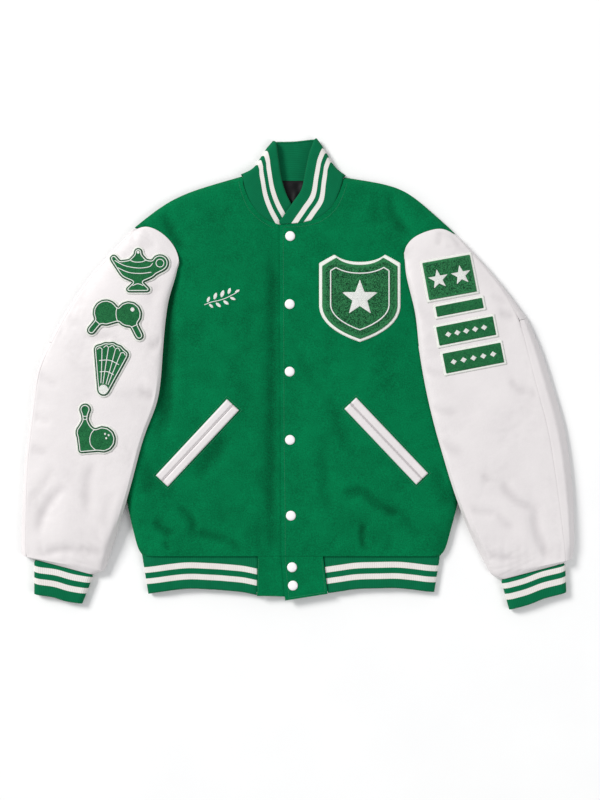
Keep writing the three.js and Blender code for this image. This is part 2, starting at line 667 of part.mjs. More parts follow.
function backGrid() {
  const outward = (shares) => shares.map((share) => 1 - share).reverse();
  const neckRows = COLLAR_BACK_ROWS.slice(2, 9).map((row) => new THREE.Vector2(row.seamX, row.seamY));
  const rightOut = outward(BACK_SHOULDER_SHARES);
  const high = joined(
    sample(shoulders.right.slice().reverse(), rightOut),
    neckRows,
    sample(shoulders.left, BACK_SHOULDER_SHARES),
  );
  const [neckFrom, neckTo] = BACK_NECK_SHARE;
  const lowShares = joined(
    rightOut.map((share) => share * neckFrom),
    even(BACK_NECK_SPANS).map((share) => mix(neckFrom, neckTo, share)),
    BACK_SHOULDER_SHARES.map((share) => mix(neckTo, 1, share)),
  );
  const low = lowShares.map((share) => edges.right[0].clone().lerp(edges.left[0], share));
  const armhole = (side) => sample(pointsOf(BACK_ARMHOLE_ROWS, side).reverse(), BACK_ARM_SHARES);
  const first = joined(sample(edges.right, BACK_SIDE_SHARES), armhole('right'));
  const last = joined(sample(edges.left, BACK_SIDE_SHARES), armhole('left'));
  const grid = patch(low, high, first, last);
  return grid.map((column) => column.map((point) => {
    const side = point.x < -8 ? 'right' : 'left';
    return new THREE.Vector3(point.x, point.y, backHeight(side, point.x, point.y));
  }));
}

const backCells = backGrid();
const neckColumns = [BACK_SHOULDER_SHARES.length - 1, BACK_SHOULDER_SHARES.length - 1 + BACK_NECK_SPANS];
const backNormals = gridNormals(backCells, -1, false, {
  high: (i) => i <= neckColumns[0] || i >= neckColumns[1],
});
for (let i = neckColumns[0] + 1; i < neckColumns[1]; i += 1) {
  backNormals[i][backCells[i].length - 1].set(0, 0, -1);
}
for (let j = 0; j < BACK_SIDE_SHARES.length; j += 1) {
  backNormals[0][j].setZ(0).normalize();
  backNormals[backCells.length - 1][j].setZ(0).normalize();
}
group.add(wall('back', backCells, backNormals, WOOL, wool));

// Hem tabs of the fronts.

function tab(side, corners, columns) {
  const low = even(columns).map((share) => corners.lowIn.clone().lerp(corners.lowOut, share));
  const high = even(columns).map((share) => corners.highIn.clone().lerp(corners.highOut, share));
  const grid = low.map((point, i) => even(3).map((share) => {
    const at = point.clone().lerp(high[i], share);
    return new THREE.Vector3(at.x, at.y, frontHeight(side, at.x, HEM_SEAM_Y));
  }));
  const normals = grid.map((column) => column.map(() => new THREE.Vector3(0, 0, 1)));
  return wall('hem_tab_' + side, grid, normals, WOOL, wool);
}

group.add(tab('left', {
  lowIn: new THREE.Vector2(-22, -371),
  lowOut: new THREE.Vector2(48, -360),
  highIn: new THREE.Vector2(-28, HEM_SEAM_Y - GAP),
  highOut: new THREE.Vector2(40.5, HEM_SEAM_Y - GAP),
}, 5));
group.add(tab('right', {
  lowIn: new THREE.Vector2(UNDERLAP_X + 2, -366),
  lowOut: new THREE.Vector2(-68.5, -363.5),
  highIn: new THREE.Vector2(UNDERLAP_X + 2, HEM_SEAM_Y - GAP),
  highOut: new THREE.Vector2(-67.3, HEM_SEAM_Y - GAP),
}, 8));

// Hem band: a strip from one tab round the back to the other tab.

const HEM_TUCK = 3.4;
const HEM_RIB_PITCH = 6.2;
// The tucked edge lies over the wool of the back and under the wool of the fronts.
const HEM_TUCK_LIFT = 2.9;
const HEM_TUCK_DROP = 0.7;
const HEM_PATH = [
  { topX: -67.8, lowX: -69, lowY: -362.5, share: 1, face: 1 },
  { topX: -120, lowX: -120, lowY: -355, share: 1, face: 1 },
  { topX: -185, lowX: -180, lowY: -352, share: 1, face: 1 },
  { topX: -236, lowX: -231, lowY: -358, share: 0.97, face: 1 },
  { topX: -248, lowX: -243, lowY: -360, share: 0.8, face: 1 },
  { topX: -253.4, lowX: -248.4, lowY: -361, share: 0.5, face: 0 },
  { topX: -251, lowX: -246, lowY: -360.5, share: 0.14, face: 0 },
  { topX: -246, lowX: -241, lowY: -359.5, share: 0, face: 0 },
  { topX: -185, lowX: -180, lowY: -352, share: 0, face: 0 },
  { topX: -60, lowX: -60, lowY: -360, share: 0, face: 0 },
  { topX: 60, lowX: 60, lowY: -357, share: 0, face: 0 },
  { topX: 165, lowX: 160, lowY: -351, share: 0, face: 0 },
  { topX: 223, lowX: 217, lowY: -356.5, share: 0, face: 0 },
  { topX: 228, lowX: 222, lowY: -357.5, share: 0.14, face: 0 },
  { topX: 230.4, lowX: 224.4, lowY: -358, share: 0.5, face: 0 },
  { topX: 225, lowX: 219, lowY: -357.5, share: 0.8, face: 1 },
  { topX: 213, lowX: 207, lowY: -356, share: 0.97, face: 1 },
  { topX: 165, lowX: 160, lowY: -351, share: 1, face: 1 },
  { topX: 95, lowX: 98, lowY: -352.5, share: 1, face: 1 },
  { topX: 41.2, lowX: 48.8, lowY: -359.5, share: 1, face: 1 },
];
const HEM_LEVELS = [
  { down: 0, tuck: 1 },
  { down: 0.1, tuck: 1 },
  { down: 0.17, tuck: 0 },
  { down: 1, tuck: 0 },
];

// Stations along a strip, close enough to raise its ribs where they show.
function stations(rows, pitch, lengthOf) {
  const list = [];
  rows.slice(1).forEach((row, index) => {
    const from = rows[index];
    const ribbed = from.face && row.face;
    const spans = ribbed ? Math.max(1, Math.round(lengthOf(from, row) / pitch * 2)) : 1;
    for (let step = 0; step < spans; step += 1) {
      list.push({ from, to: row, share: step / spans, rib: ribbed ? list.length % 2 : 0 });
    }
  });
  const lastRow = rows[rows.length - 1];
  list.push({ from: lastRow, to: lastRow, share: 0, rib: 0 });
  return list;
}

function stationValue(station, column) {
  return mix(station.from[column], station.to[column], station.share);
}

const hemStations = stations(HEM_PATH, HEM_RIB_PITCH, (a, b) => Math.abs(a.topX - b.topX));
const hemGrid = hemStations.map((station) => HEM_LEVELS.map((level) => {
  const share = stationValue(station, 'share');
  const topY = HEM_SEAM_Y + HEM_TUCK;
  const x = mix(stationValue(station, 'topX'), stationValue(station, 'lowX'), level.down);
  const y = mix(topY, stationValue(station, 'lowY'), level.down);
  const lift = share < 0.5 ? HEM_TUCK_LIFT * (1 - share * 2) : HEM_TUCK_DROP * (1 - share * 2);
  const rib = station.rib * RIB_RISE * (1 - level.tuck);
  return new THREE.Vector3(x, y, HEM_BAND_TOP * share + level.tuck * lift + rib);
}));
const hemNormals = gridNormals(hemGrid, 1, false, {});
group.add(wall('hem_band', hemGrid, hemNormals, (i) => RIB_KNIT + hemStations[i].rib * RIB_RISE, knit));

// Collar band, raised ribs on the faces that show.

const COLLAR_RIB_PITCH = 6.4;
const COLLAR_WAIST_SHARE = 0.34;
const COLLAR_WIDTHS = [0, COLLAR_WAIST_SHARE, 0.93, 1];
const COLLAR_SEAM_GAP = 0.9;
const collarRows = [...COLLAR_RIGHT_ROWS, ...COLLAR_BACK_ROWS, ...COLLAR_LEFT_ROWS]
  .map((row) => ({ waist: 0, ...row, face: 1 }));
const collarStations = stations(
  collarRows,
  COLLAR_RIB_PITCH,
  (a, b) => Math.hypot(a.seamX + a.freeX - b.seamX - b.freeX, a.seamY + a.freeY - b.seamY - b.freeY) / 2,
);
const collarGrid = collarStations.map((station) => COLLAR_WIDTHS.map((share) => {
  const stationPoint = (edge) => new THREE.Vector3(
    stationValue(station, edge + 'X'),
    stationValue(station, edge + 'Y'),
    stationValue(station, edge + 'Z'),
  );
  const seam = stationPoint('seam');
  const free = stationPoint('free');
  const across = free.clone().sub(seam).setZ(0);
  const edgeDrop = 0.8 * ease(across.length() / 30 - 0.4);
  across.normalize();
  const point = seam.clone().lerp(free, share).addScaledVector(across, share === 0 ? COLLAR_SEAM_GAP : 0);
  const waist = share === COLLAR_WAIST_SHARE ? stationValue(station, 'waist') : 0;
  point.add(new THREE.Vector3(across.y * waist, -across.x * waist, 0));
  const onFront = point.z > 9 ? 1 : 0;
  point.z += station.rib * RIB_RISE * onFront - (share === 1 ? edgeDrop * onFront : 0);
  return point;
}));
const collarNormals = gridNormals(collarGrid, -1, false, {});
collarNormals.forEach((column, i) => {
  const z = collarGrid[i][0].z;
  if (z > 12 || z < 3) {
    column[0].set(0, 0, z > 12 ? 1 : -1);
  }
});
group.add(wall('collar', collarGrid, collarNormals, (i, j) => {
  const onBack = collarGrid[i][j].z < 2 ? 1 : 0;
  return RIB_KNIT + collarStations[i].rib * RIB_RISE * onBack;
}, knit));

// Neck lining, where the open collar shows it.

const liningGrid = even(4).map((share) => even(3).map((up) => (
  new THREE.Vector3(mix(-68, 48, share), mix(232, 312, up), WOOL + GAP + LINING)
)));
const liningNormals = liningGrid.map((column) => column.map(() => new THREE.Vector3(0, 0, 1)));
group.add(wall('neck_lining', liningGrid, liningNormals, LINING, satin));

// Sleeves.

const SLEEVE_RINGS = [0, 0.4, 1, 1.8, 2.7, 3.7, 4.8, 5.9, 7, 8.1, 9.2, 10.3, 11.4, 12.4, 13.2, 13.7, 14];
const TOP_SHARES = [0, 0.025, 0.075, 0.16, 0.3, 0.45, 0.6, 0.75, 0.88, 1];
const OUTER_SHARES = [0, 0.55, 1];
const UNDER_BACK_SHARES = BACK_ARM_SHARES;
const UNDER_FRONT_SHARES = [0, 0.3, 0.65, 0.88, 0.97, 1];
const PIT_SHARE = 0.56;
const CAP_FADE_RINGS = 3;
const PIT_FADE_RINGS = 5;
const CROSS_SEAM_RING = 6;
const SLEEVE_LAP = 3;
const INNER_ROUND = 13;
const OUTER_ROUND = 17;
const FALL = 32;
const FOLD_HALF = 2;
const PIT_PUSH = 4;
const SHOULDER_PUSH = 3.2;
const SEAT_REACH = 7;
const SEAT_CLEARANCE = 0.2;
const CAP_BASE = 20.4;
const CAP_STEP = 1.6;
const CROWN = 2.2;
const CALM_WIDTH = 26;
const MOUTH_HEIGHT = CUFF_HEIGHT + 4;
const MOUTH_RING = 12.2;
const MOUTH_RINGS = 1.8;
const UNDER_ROUND = 9;

function section(rows, ring) {
  const t = ring / (rows.length - 1);
  const line = (x, y) => (
    new THREE.SplineCurve(rows.map((row) => new THREE.Vector2(row[x], row[y]))).getPoint(t)
  );
  return { inner: line('inX', 'inY'), outer: line('outX', 'outY'), beneath: line('pitX', 'pitY') };
}

function cuffContour(cuff, along, inset, share, upper) {
  const innerTop = new THREE.Vector2(cuff.topInX, cuff.topInY);
  const outerTop = new THREE.Vector2(cuff.topOutX, cuff.topOutY);
  const inner = innerTop.lerp(new THREE.Vector2(cuff.endInX, cuff.endInY), along);
  const outer = outerTop.lerp(new THREE.Vector2(cuff.endOutX, cuff.endOutY), along);
  const width = inner.distanceTo(outer);
  const at = inner.clone().lerp(outer, mix(inset / width, 1 - inset / width, share));
  const near = Math.min(share, 1 - share) * (width - 2 * inset);
  const half = CUFF_HEIGHT / 2 - inset;
  const round = roll(near, half + 2);
  return new THREE.Vector3(at.x, at.y, CUFF_HEIGHT / 2 + (upper ? half : -half) * round);
}

function sleeve(side, rows, folds) {
  const sign = side === 'left' ? 1 : -1;
  const frontCells = fronts[side].grid;
  const cuff = CUFFS[side];
  const pit = edges[side][edges[side].length - 1];
  const capLine = new THREE.SplineCurve(pointsOf(CAP_ROWS, side).reverse());
  const backLine = new THREE.SplineCurve(pointsOf(BACK_ARMHOLE_ROWS, side));
  const hiddenLine = new THREE.SplineCurve(pointsOf(HIDDEN_ROWS, side).reverse());
  const start = section(rows, 0);
  const further = section(rows, 3);
  const away = further.inner.add(further.outer).sub(start.inner).sub(start.outer).normalize();

  const bodyOutward = (x, y, onBody) => {
    if (y <= pit.y) {
      return sign * (x - tableValue(SIDE_ROWS, 'y', side, y));
    }
    return onBody ? -10 : Math.hypot(x - pit.x, y - pit.y);
  };
  const underHeight = (x, y, onBody) => {
    const outward = bodyOutward(x, y, onBody);
    return SLEEVE_ON_BODY * (1 - ease((outward - 6) / FALL));
  };

  const upperPoint = (share, ring) => {
    const { inner, outer } = section(rows, ring);
    const width = inner.distanceTo(outer);
    const capPoint = capLine.getPointAt(share);
    const fade = Math.max(0, 1 - ring / CAP_FADE_RINGS) ** 2;
    const straight = start.inner.clone().lerp(start.outer, share);
    const plan = inner.clone().lerp(outer, share).addScaledVector(capPoint.clone().sub(straight), fade);
    if (ring === 0) {
      plan.addScaledVector(away, share > 0.93 ? SHOULDER_PUSH : -SLEEVE_LAP);
    }
    const underAt = underHeight(inner.x, inner.y, true);
    const innerEdge = underAt + FOLD_HALF;
    const end = ease((ring - MOUTH_RING) / MOUTH_RINGS);
    const level = mix(mix(SLEEVE_HEIGHT, SLEEVE_OUTER_HEIGHT, share), MOUTH_HEIGHT, end)
      + Math.sin(share * Math.PI) * CROWN;
    const innerDrop = (1 - roll(share * width, INNER_ROUND)) * (SLEEVE_HEIGHT - innerEdge) * (1 - end);
    const outerLevel = mix(SLEEVE_OUTER_HEIGHT, MOUTH_HEIGHT, end);
    const outerDrop = (1 - roll((1 - share) * width, OUTER_ROUND)) * (outerLevel - SIDE_SEAM_HEIGHT);
    const endDrop = (1 - roll(share * width, INNER_ROUND)) * (MOUTH_HEIGHT - SIDE_SEAM_HEIGHT) * end;
    const nearEdge = ease(share * width / CALM_WIDTH) * ease((1 - share) * width / CALM_WIDTH);
    const calm = nearEdge * ease(ring / 1.5);
    const free = level - innerDrop - outerDrop - endDrop + foldHeight(folds, plan.x, plan.y) * calm;
    if (ring === 0) {
      const seat = highestNear(frontCells, plan.x, plan.y, SEAT_REACH) + GAP + LEATHER + SEAT_CLEARANCE;
      const fold = share < 0.01 ? FOLD_HALF - LEATHER / 2 : 2 * FOLD_HALF * (1 - ease(share / 0.3));
      return new THREE.Vector3(plan.x, plan.y, share > 0.97 ? SIDE_SEAM_HEIGHT : seat + fold);
    }
    const rise = ease(ring / 1.3);
    const base = share > 0.97 ? SIDE_SEAM_HEIGHT : CAP_BASE;
    return new THREE.Vector3(plan.x, plan.y, mix(Math.min(base + CAP_STEP, free), free, rise));
  };

  const underPoint = (part, share, ring) => {
    const { inner, outer, beneath } = section(rows, ring);
    const isBack = part === 'back';
    const q = isBack ? share * PIT_SHARE : mix(PIT_SHARE, 1, share);
    const seam = (isBack ? backLine : hiddenLine).getPointAt(share);
    const straight = isBack ? start.outer.clone().lerp(pit, share) : pit.clone().lerp(start.inner, share);
    const across = isBack ? outer.clone().lerp(beneath, share) : beneath.clone().lerp(inner, share);
    const fade = Math.max(0, 1 - ring / PIT_FADE_RINGS);
    const plan = across.addScaledVector(seam.clone().sub(straight), fade);
    if (isBack && share < 1) {
      plan.x += sign * 2 * PIT_PUSH * ease((share - 0.5) / 0.4) * ease(ring) * fade;
    }
    if (ring === 0) {
      if (isBack && share < 1) {
        if (share === 0) {
          plan.addScaledVector(away, SHOULDER_PUSH);
        } else {
          const tangent = backLine.getTangentAt(share);
          const outward = new THREE.Vector2(-tangent.y * sign, tangent.x * sign);
          plan.addScaledVector(outward, mix(0.6, 2.6, ease((share - 0.5) / 0.4)));
        }
        const z = share === 0 ? SIDE_SEAM_HEIGHT : backHeight(side, seam.x, seam.y);
        return new THREE.Vector3(plan.x, plan.y, z);
      }
      plan.x += isBack || share === 0 ? sign * PIT_PUSH : -sign * SLEEVE_LAP;
      return new THREE.Vector3(plan.x, plan.y, SLEEVE_ON_BODY);
    }
    const low = underHeight(plan.x, plan.y, !(isBack && share < 1));
    const width = inner.distanceTo(outer);
    const outerRise = (1 - roll(q * width, UNDER_ROUND)) * SIDE_SEAM_HEIGHT;
    const endInner = (1 - roll((1 - q) * width, UNDER_ROUND)) * SIDE_SEAM_HEIGHT * ease((ring - 11) / 2);
    return new THREE.Vector3(plan.x, plan.y, Math.max(low, outerRise, endInner));
  };

  const mouth = (share, upper) => cuffContour(cuff, 0, 0, share, upper);
  const ringLoop = (ring) => {
    const seamShare = tableValue(ELBOW_SEAM_ROWS, 'ring', side, Math.min(ring, 14));
    const isMouth = ring > 14;
    const upper = (share) => (isMouth ? mouth(share, true) : upperPoint(share, ring));
    const under = (part, share) => {
      if (!isMouth) {
        return underPoint(part, share, ring);
      }
      const q = part === 'back' ? share * PIT_SHARE : mix(PIT_SHARE, 1, share);
      return mouth(1 - q, false);
    };
    return [
      ...TOP_SHARES.map((share) => upper(share * seamShare)),
      ...OUTER_SHARES.slice(1).map((share) => upper(mix(seamShare, 1, share))),
      ...UNDER_BACK_SHARES.slice(1).map((share) => under('back', share)),
      ...UNDER_FRONT_SHARES.slice(1, -1).map((share) => under('front', share)),
    ];
  };
  const loops = [...SLEEVE_RINGS, 15].map(ringLoop);
  const columns = loops[0].length;
  const grid = Array.from({ length: columns }, (_, i) => loops.map((loop) => loop[i]));
  const normals = gridNormals(grid, -sign, true, {});
  const seamColumn = TOP_SHARES.length - 1;
  const pitColumn = seamColumn + OUTER_SHARES.length + UNDER_BACK_SHARES.length - 2;
  normals[pitColumn][0].set(sign, 0, 0);
  for (let i = pitColumn + 1; i < columns; i += 1) {
    normals[i][0].set(0, 0, -1);
  }

  const strip = (name, from, to, rowFrom, rowTo) => {
    const points = [];
    const directions = [];
    for (let i = from; i <= to; i += 1) {
      const column = i % columns;
      const cut = [];
      const cutNormals = [];
      for (let j = rowFrom; j <= rowTo; j += 1) {
        const point = grid[column][j].clone();
        const normal = normals[column][j].clone();
        if (column === 0) {
          point.z += i === 0 ? GAP / 2 : -GAP / 2;
          normal.setZ(0).normalize();
        } else if (i === from || i === to) {
          const inward = grid[i === from ? column + 1 : column - 1][j].clone().sub(point).normalize();
          point.addScaledVector(inward, 1.5 * GAP);
        }
        if (rowFrom > 0 && j === rowFrom) {
          point.addScaledVector(grid[column][j + 1].clone().sub(point).normalize(), 2 * GAP);
        }
        cut.push(point);
        cutNormals.push(normal);
      }
      points.push(cut);
      directions.push(cutNormals);
    }
    return wall(name, points, directions, LEATHER, leather);
  };

  const lastRow = loops.length - 1;
  group.add(strip('top_sleeve_' + side, 0, seamColumn, 0, lastRow));
  group.add(strip('under_sleeve_upper_' + side, seamColumn, columns, 0, CROSS_SEAM_RING));
  group.add(strip('under_sleeve_lower_' + side, seamColumn, columns, CROSS_SEAM_RING, lastRow));
  return grid.slice(0, seamColumn + 1);
}

const sleeveGrids = {
  right: sleeve('right', RIGHT_SLEEVE_ROWS, RIGHT_SLEEVE_FOLDS),
  left: sleeve('left', LEFT_SLEEVE_ROWS, LEFT_SLEEVE_FOLDS),
};

// Cuffs.

const CUFF_LEVELS = [
  { along: -0.1, inset: 2.3 },
  { along: 0.01, inset: 2.3 },
  { along: 0.09, inset: 0 },
  { along: 1, inset: 0 },
];
const CUFF_RIBS = 17;
const CUFF_UNDER_SPANS = 7;

function cuffMesh(side) {
  const upper = even(CUFF_RIBS * 2)
    .map((share, index) => ({ share: mix(0.02, 0.98, share), upper: true, rib: index % 2 }));
  const edgeOuter = { share: 1, upper: true, rib: 0 };
  const under = even(CUFF_UNDER_SPANS)
    .map((share) => ({ share: mix(0.96, 0.04, share), upper: false, rib: 0 }));
  const edgeInner = { share: 0, upper: false, rib: 0 };
  const loop = [...upper, edgeOuter, ...under, edgeInner];
  const grid = loop.map((stop) => CUFF_LEVELS.map((level) => {
    const point = cuffContour(CUFFS[side], level.along, level.inset, stop.share, stop.upper);
    point.z += stop.rib * RIB_RISE * (level.inset === 0 ? 1 : 0);
    return point;
  }));
  const normals = gridNormals(grid, side === 'left' ? -1 : 1, true, {});
  return wall('cuff_' + side, grid, normals, (i) => CUFF_KNIT + loop[i].rib * RIB_RISE, knit, true);
}

group.add(cuffMesh('right'), cuffMesh('left'));

// Snap caps.

SNAPS.forEach((snap, index) => {
  const seat = snap.y > HEM_SEAM_Y
    ? highestNear(fronts.left.grid, snap.x, snap.y, SNAP_RADIUS)
    : frontHeight('left', snap.x + SNAP_RADIUS, HEM_SEAM_Y);
  const profile = [
    new THREE.Vector2(0, 0),
    new THREE.Vector2(SNAP_RADIUS - 0.6, 0),
    new THREE.Vector2(SNAP_RADIUS, 0.7),
    new THREE.Vector2(SNAP_RADIUS - 0.5, 1.7),
    new THREE.Vector2(SNAP_RADIUS - 3, 2.6),
    new THREE.Vector2(0, 3),
  ];
  const spun = new THREE.LatheGeometry(profile, 16);
  spun.rotateX(Math.PI / 2);
  spun.translate(snap.x, snap.y, seat + GAP / 2);
  const mesh = new THREE.Mesh(spun, cap.clone());
  mesh.name = 'snap_' + (index + 1);
  group.add(mesh);
});

// Pocket lips.

function rectangle(width, height) {
  const shape = new THREE.Shape();
  shape.moveTo(-width / 2, -height / 2);
  shape.lineTo(width / 2, -height / 2);
  shape.lineTo(width / 2, height / 2);
  shape.lineTo(-width / 2, height / 2);
  shape.closePath();
  return shape;
}

for (const pocket of POCKETS) {
  const lipWidth = (pocket.width - SLIT) / 2;
  const turn = THREE.MathUtils.degToRad(pocket.turn);
  for (const [label, way] of [['upper', 1], ['lower', -1]]) {
    const shift = way * (lipWidth + SLIT) / 2;
    const place = {
      x: pocket.x - Math.sin(turn) * shift,
      y: pocket.y + Math.cos(turn) * shift,
      turn: pocket.turn,
    };
    const outline = rectangle(pocket.length, lipWidth);
    const panel = fronts[pocket.name].grid;
    const name = 'pocket_lip_' + label + '_' + pocket.name;
    group.add(applique(name, panel, outline, place, GAP, LIP, leather));
  }
}

// Chest patch: a plain award shield with a notched top.

const SHIELD = { x: 101, y: 127, width: 134, height: 144 };

function shield(grow) {
  const w = SHIELD.width / 2 + grow;
  const h = SHIELD.height / 2 + grow;
  const shape = new THREE.Shape();
  shape.moveTo(0, h - 12);
  shape.quadraticCurveTo(-w * 0.4, h - 12, -w * 0.62, h);
  shape.quadraticCurveTo(-w * 0.8, h - 6, -w, h - 14);
  shape.lineTo(-w, -h * 0.2);
  shape.quadraticCurveTo(-w * 0.95, -h * 0.7, 0, -h);
  shape.quadraticCurveTo(w * 0.95, -h * 0.7, w, -h * 0.2);
  shape.lineTo(w, h - 14);
  shape.quadraticCurveTo(w * 0.8, h - 6, w * 0.62, h);
  shape.quadraticCurveTo(w * 0.4, h - 12, 0, h - 12);
  return shape;
}

const chest = fronts.left.grid;
const CHENILLE_LIFT = GAP * 2 + FELT;
const shieldFace = shield(-FELT_MARGIN - 1);
group.add(applique('chest_patch_felt', chest, shield(0), SHIELD, GAP, FELT, white));
group.add(applique('chest_patch_chenille', chest, shieldFace, SHIELD, CHENILLE_LIFT, CHENILLE, chenille));

// Sleeve patches: ordinary sport motifs. A row is an arc of the outline, the rows anticlockwise and
// joined by straight lines, angles in degrees. A corner is an arc without a radius.

const MOTIFS = {
  lamp: [
    { x: 15, y: -35, radius: 4, from: -90, to: 70 },
    { x: 8, y: -23, radius: 0, from: 0, to: 0 },
    { x: 14, y: 0, radius: 19, from: -72, to: -34 },
    { x: 36, y: 8, radius: 14, from: -70, to: 160 },
    { x: 14, y: 14, radius: 0, from: 0, to: 0 },
    { x: 0, y: 26, radius: 6.5, from: -25, to: 205 },
    { x: -15, y: 14, radius: 0, from: 0, to: 0 },
    { x: -30, y: 12, radius: 0, from: 0, to: 0 },
    { x: -41, y: 16.5, radius: 5.5, from: 50, to: 220 },
    { x: -14, y: 0, radius: 19, from: 214, to: 252 },
    { x: -8, y: -23, radius: 0, from: 0, to: 0 },
    { x: -15, y: -35, radius: 4, from: 110, to: 270 },
  ],
  paddles: [
    { x: -18, y: 8, radius: 21, from: 30, to: 212 },
    { x: -42, y: -21, radius: 6.5, from: 140, to: 320 },
    { x: -18, y: 8, radius: 21, from: 248, to: 300 },
    { x: 20, y: 5, radius: 21, from: 216, to: 277 },
    { x: 37, y: -30, radius: 6.5, from: 205, to: 385 },
    { x: 20, y: 5, radius: 21, from: 313, to: 510 },
  ],
  shuttlecock: [
    { x: 0, y: -33, radius: 9.5, from: 190, to: 350 },
    { x: 21, y: 30, radius: 7.5, from: -20, to: 90 },
    { x: 11, y: 36.5, radius: 7, from: 35, to: 110 },
    { x: 0, y: 39, radius: 7, from: 50, to: 130 },
    { x: -11, y: 36.5, radius: 7, from: 70, to: 145 },
    { x: -21, y: 30, radius: 7.5, from: 90, to: 200 },
  ],
  pin: [
    { x: 16, y: -17, radius: 21, from: -112, to: 126 },
    { x: -13, y: -6, radius: 15, from: 34, to: 52 },
    { x: -8.5, y: 15, radius: 0, from: 0, to: 0 },
    { x: -13, y: 32, radius: 9, from: -44, to: 224 },
    { x: -17.5, y: 15, radius: 0, from: 0, to: 0 },
    { x: -13, y: -6, radius: 15, from: 130, to: 212 },
    { x: -20, y: -36, radius: 3, from: 180, to: 270 },
  ],
};
const ARC_STEP = 30;

function outlineOf(arcs) {
  return arcs.flatMap((arc) => {
    const spans = Math.ceil((arc.to - arc.from) / ARC_STEP);
    const turns = spans ? even(spans) : [0];
    return turns.map((share) => {
      const angle = THREE.MathUtils.degToRad(mix(arc.from, arc.to, share));
      return new THREE.Vector2(arc.x + arc.radius * Math.cos(angle), arc.y + arc.radius * Math.sin(angle));
    });
  });
}

// An outline moved outwards, square to the line through each point's neighbours.
function widened(points, margin) {
  return points.map((point, index) => {
    const before = points[(index + points.length - 1) % points.length];
    const after = points[(index + 1) % points.length];
    const along = after.clone().sub(before).normalize();
    return new THREE.Vector2(point.x + along.y * margin, point.y - along.x * margin);
  });
}

for (const place of SLEEVE_PATCHES) {
  const points = outlineOf(MOTIFS[place.name]);
  const ground = new THREE.Shape(widened(points, FELT_MARGIN));
  const face = new THREE.Shape(points);
  const cells = sleeveGrids.right;
  const name = 'patch_' + place.name;
  group.add(applique(name + '_felt', cells, ground, place, GAP, FELT, white));
  group.add(applique(name + '_chenille', cells, face, place, CHENILLE_LIFT, CHENILLE, chenille));
}

// Plate and bars on the left sleeve.

const leftCells = sleeveGrids.left;
const framed = (piece) => rectangle(piece.width - 2 * FELT_MARGIN, piece.height - 2 * FELT_MARGIN);
group.add(applique('plate_felt', leftCells, rectangle(PLATE.width, PLATE.height), PLATE, GAP, FELT, white));
group.add(applique('plate_chenille', leftCells, framed(PLATE), PLATE, CHENILLE_LIFT, CHENILLE, chenille));
BARS.forEach((bar, index) => {
  const place = { x: bar.x, y: bar.y, turn: BAR_TURN };
  const name = 'bar_' + (index + 1);
  group.add(applique(name + '_felt', leftCells, rectangle(bar.width, bar.height), place, GAP, FELT, white));
  group.add(applique(name + '_face', leftCells, framed(bar), place, CHENILLE_LIFT, FELT, chenille));
});

// Origin at the middle of the base.

const bounds = new THREE.Box3().setFromObject(group);
const shift = new THREE.Vector3(
  -(bounds.min.x + bounds.max.x) / 2,
  -(bounds.min.y + bounds.max.y) / 2,
  -bounds.min.z,
);
group.children.forEach((mesh) => mesh.geometry.translate(shift.x, shift.y, shift.z));

export default group;
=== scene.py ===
import math

import bmesh
import bpy
import numpy as np
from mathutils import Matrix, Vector
from mathutils.bvhtree import BVHTree
from mathutils.geometry import delaunay_2d_cdt
from mathutils.kdtree import KDTree


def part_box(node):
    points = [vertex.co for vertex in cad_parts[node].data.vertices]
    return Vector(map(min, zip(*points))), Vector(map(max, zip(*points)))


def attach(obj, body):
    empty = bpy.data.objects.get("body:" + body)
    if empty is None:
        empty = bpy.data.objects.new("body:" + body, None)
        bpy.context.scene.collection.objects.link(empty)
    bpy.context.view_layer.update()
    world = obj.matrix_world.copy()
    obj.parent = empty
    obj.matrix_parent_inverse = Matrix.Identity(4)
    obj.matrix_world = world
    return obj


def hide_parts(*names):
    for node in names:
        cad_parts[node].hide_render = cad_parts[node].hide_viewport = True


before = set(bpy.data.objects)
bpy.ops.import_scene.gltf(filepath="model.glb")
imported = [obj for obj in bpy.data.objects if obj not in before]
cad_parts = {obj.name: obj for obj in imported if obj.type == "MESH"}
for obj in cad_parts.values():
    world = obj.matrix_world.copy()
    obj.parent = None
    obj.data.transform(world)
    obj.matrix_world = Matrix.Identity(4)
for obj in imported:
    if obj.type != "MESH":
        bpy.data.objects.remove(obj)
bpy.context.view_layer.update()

MM = 0.001

# The plan's own zero, found from the top snap.
SNAP_1 = (-13.7, 229.7)
snap_low, snap_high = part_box("snap_1")
SHIFT_X = (snap_low.x + snap_high.x) / 2 / MM - SNAP_1[0]
SHIFT_Y = (snap_low.y + snap_high.y) / 2 / MM - SNAP_1[1]

# Cloth thicknesses of the knits and of what is sewn on.
RIB_KNIT = 3.0
CUFF_KNIT = 2.6
FELT = 1.4
CHENILLE = 2.4

# Rib knit.
RIB_PITCH = 3.1
RIB_RISE = 0.32


# Numbers and curves

def smooth(share):
    t = np.clip(share, 0, 1)
    return t * t * (3 - 2 * t)


def mix(a, b, share):
    return a + (b - a) * share


def roll(distance, radius):
    """Height share of a rounded edge at a distance from it."""
    rest = 1 - np.clip(distance / radius, 0, 1)
    return np.sqrt(1 - rest * rest)


def column(rows, name):
    return np.array([row[name] for row in rows], float)


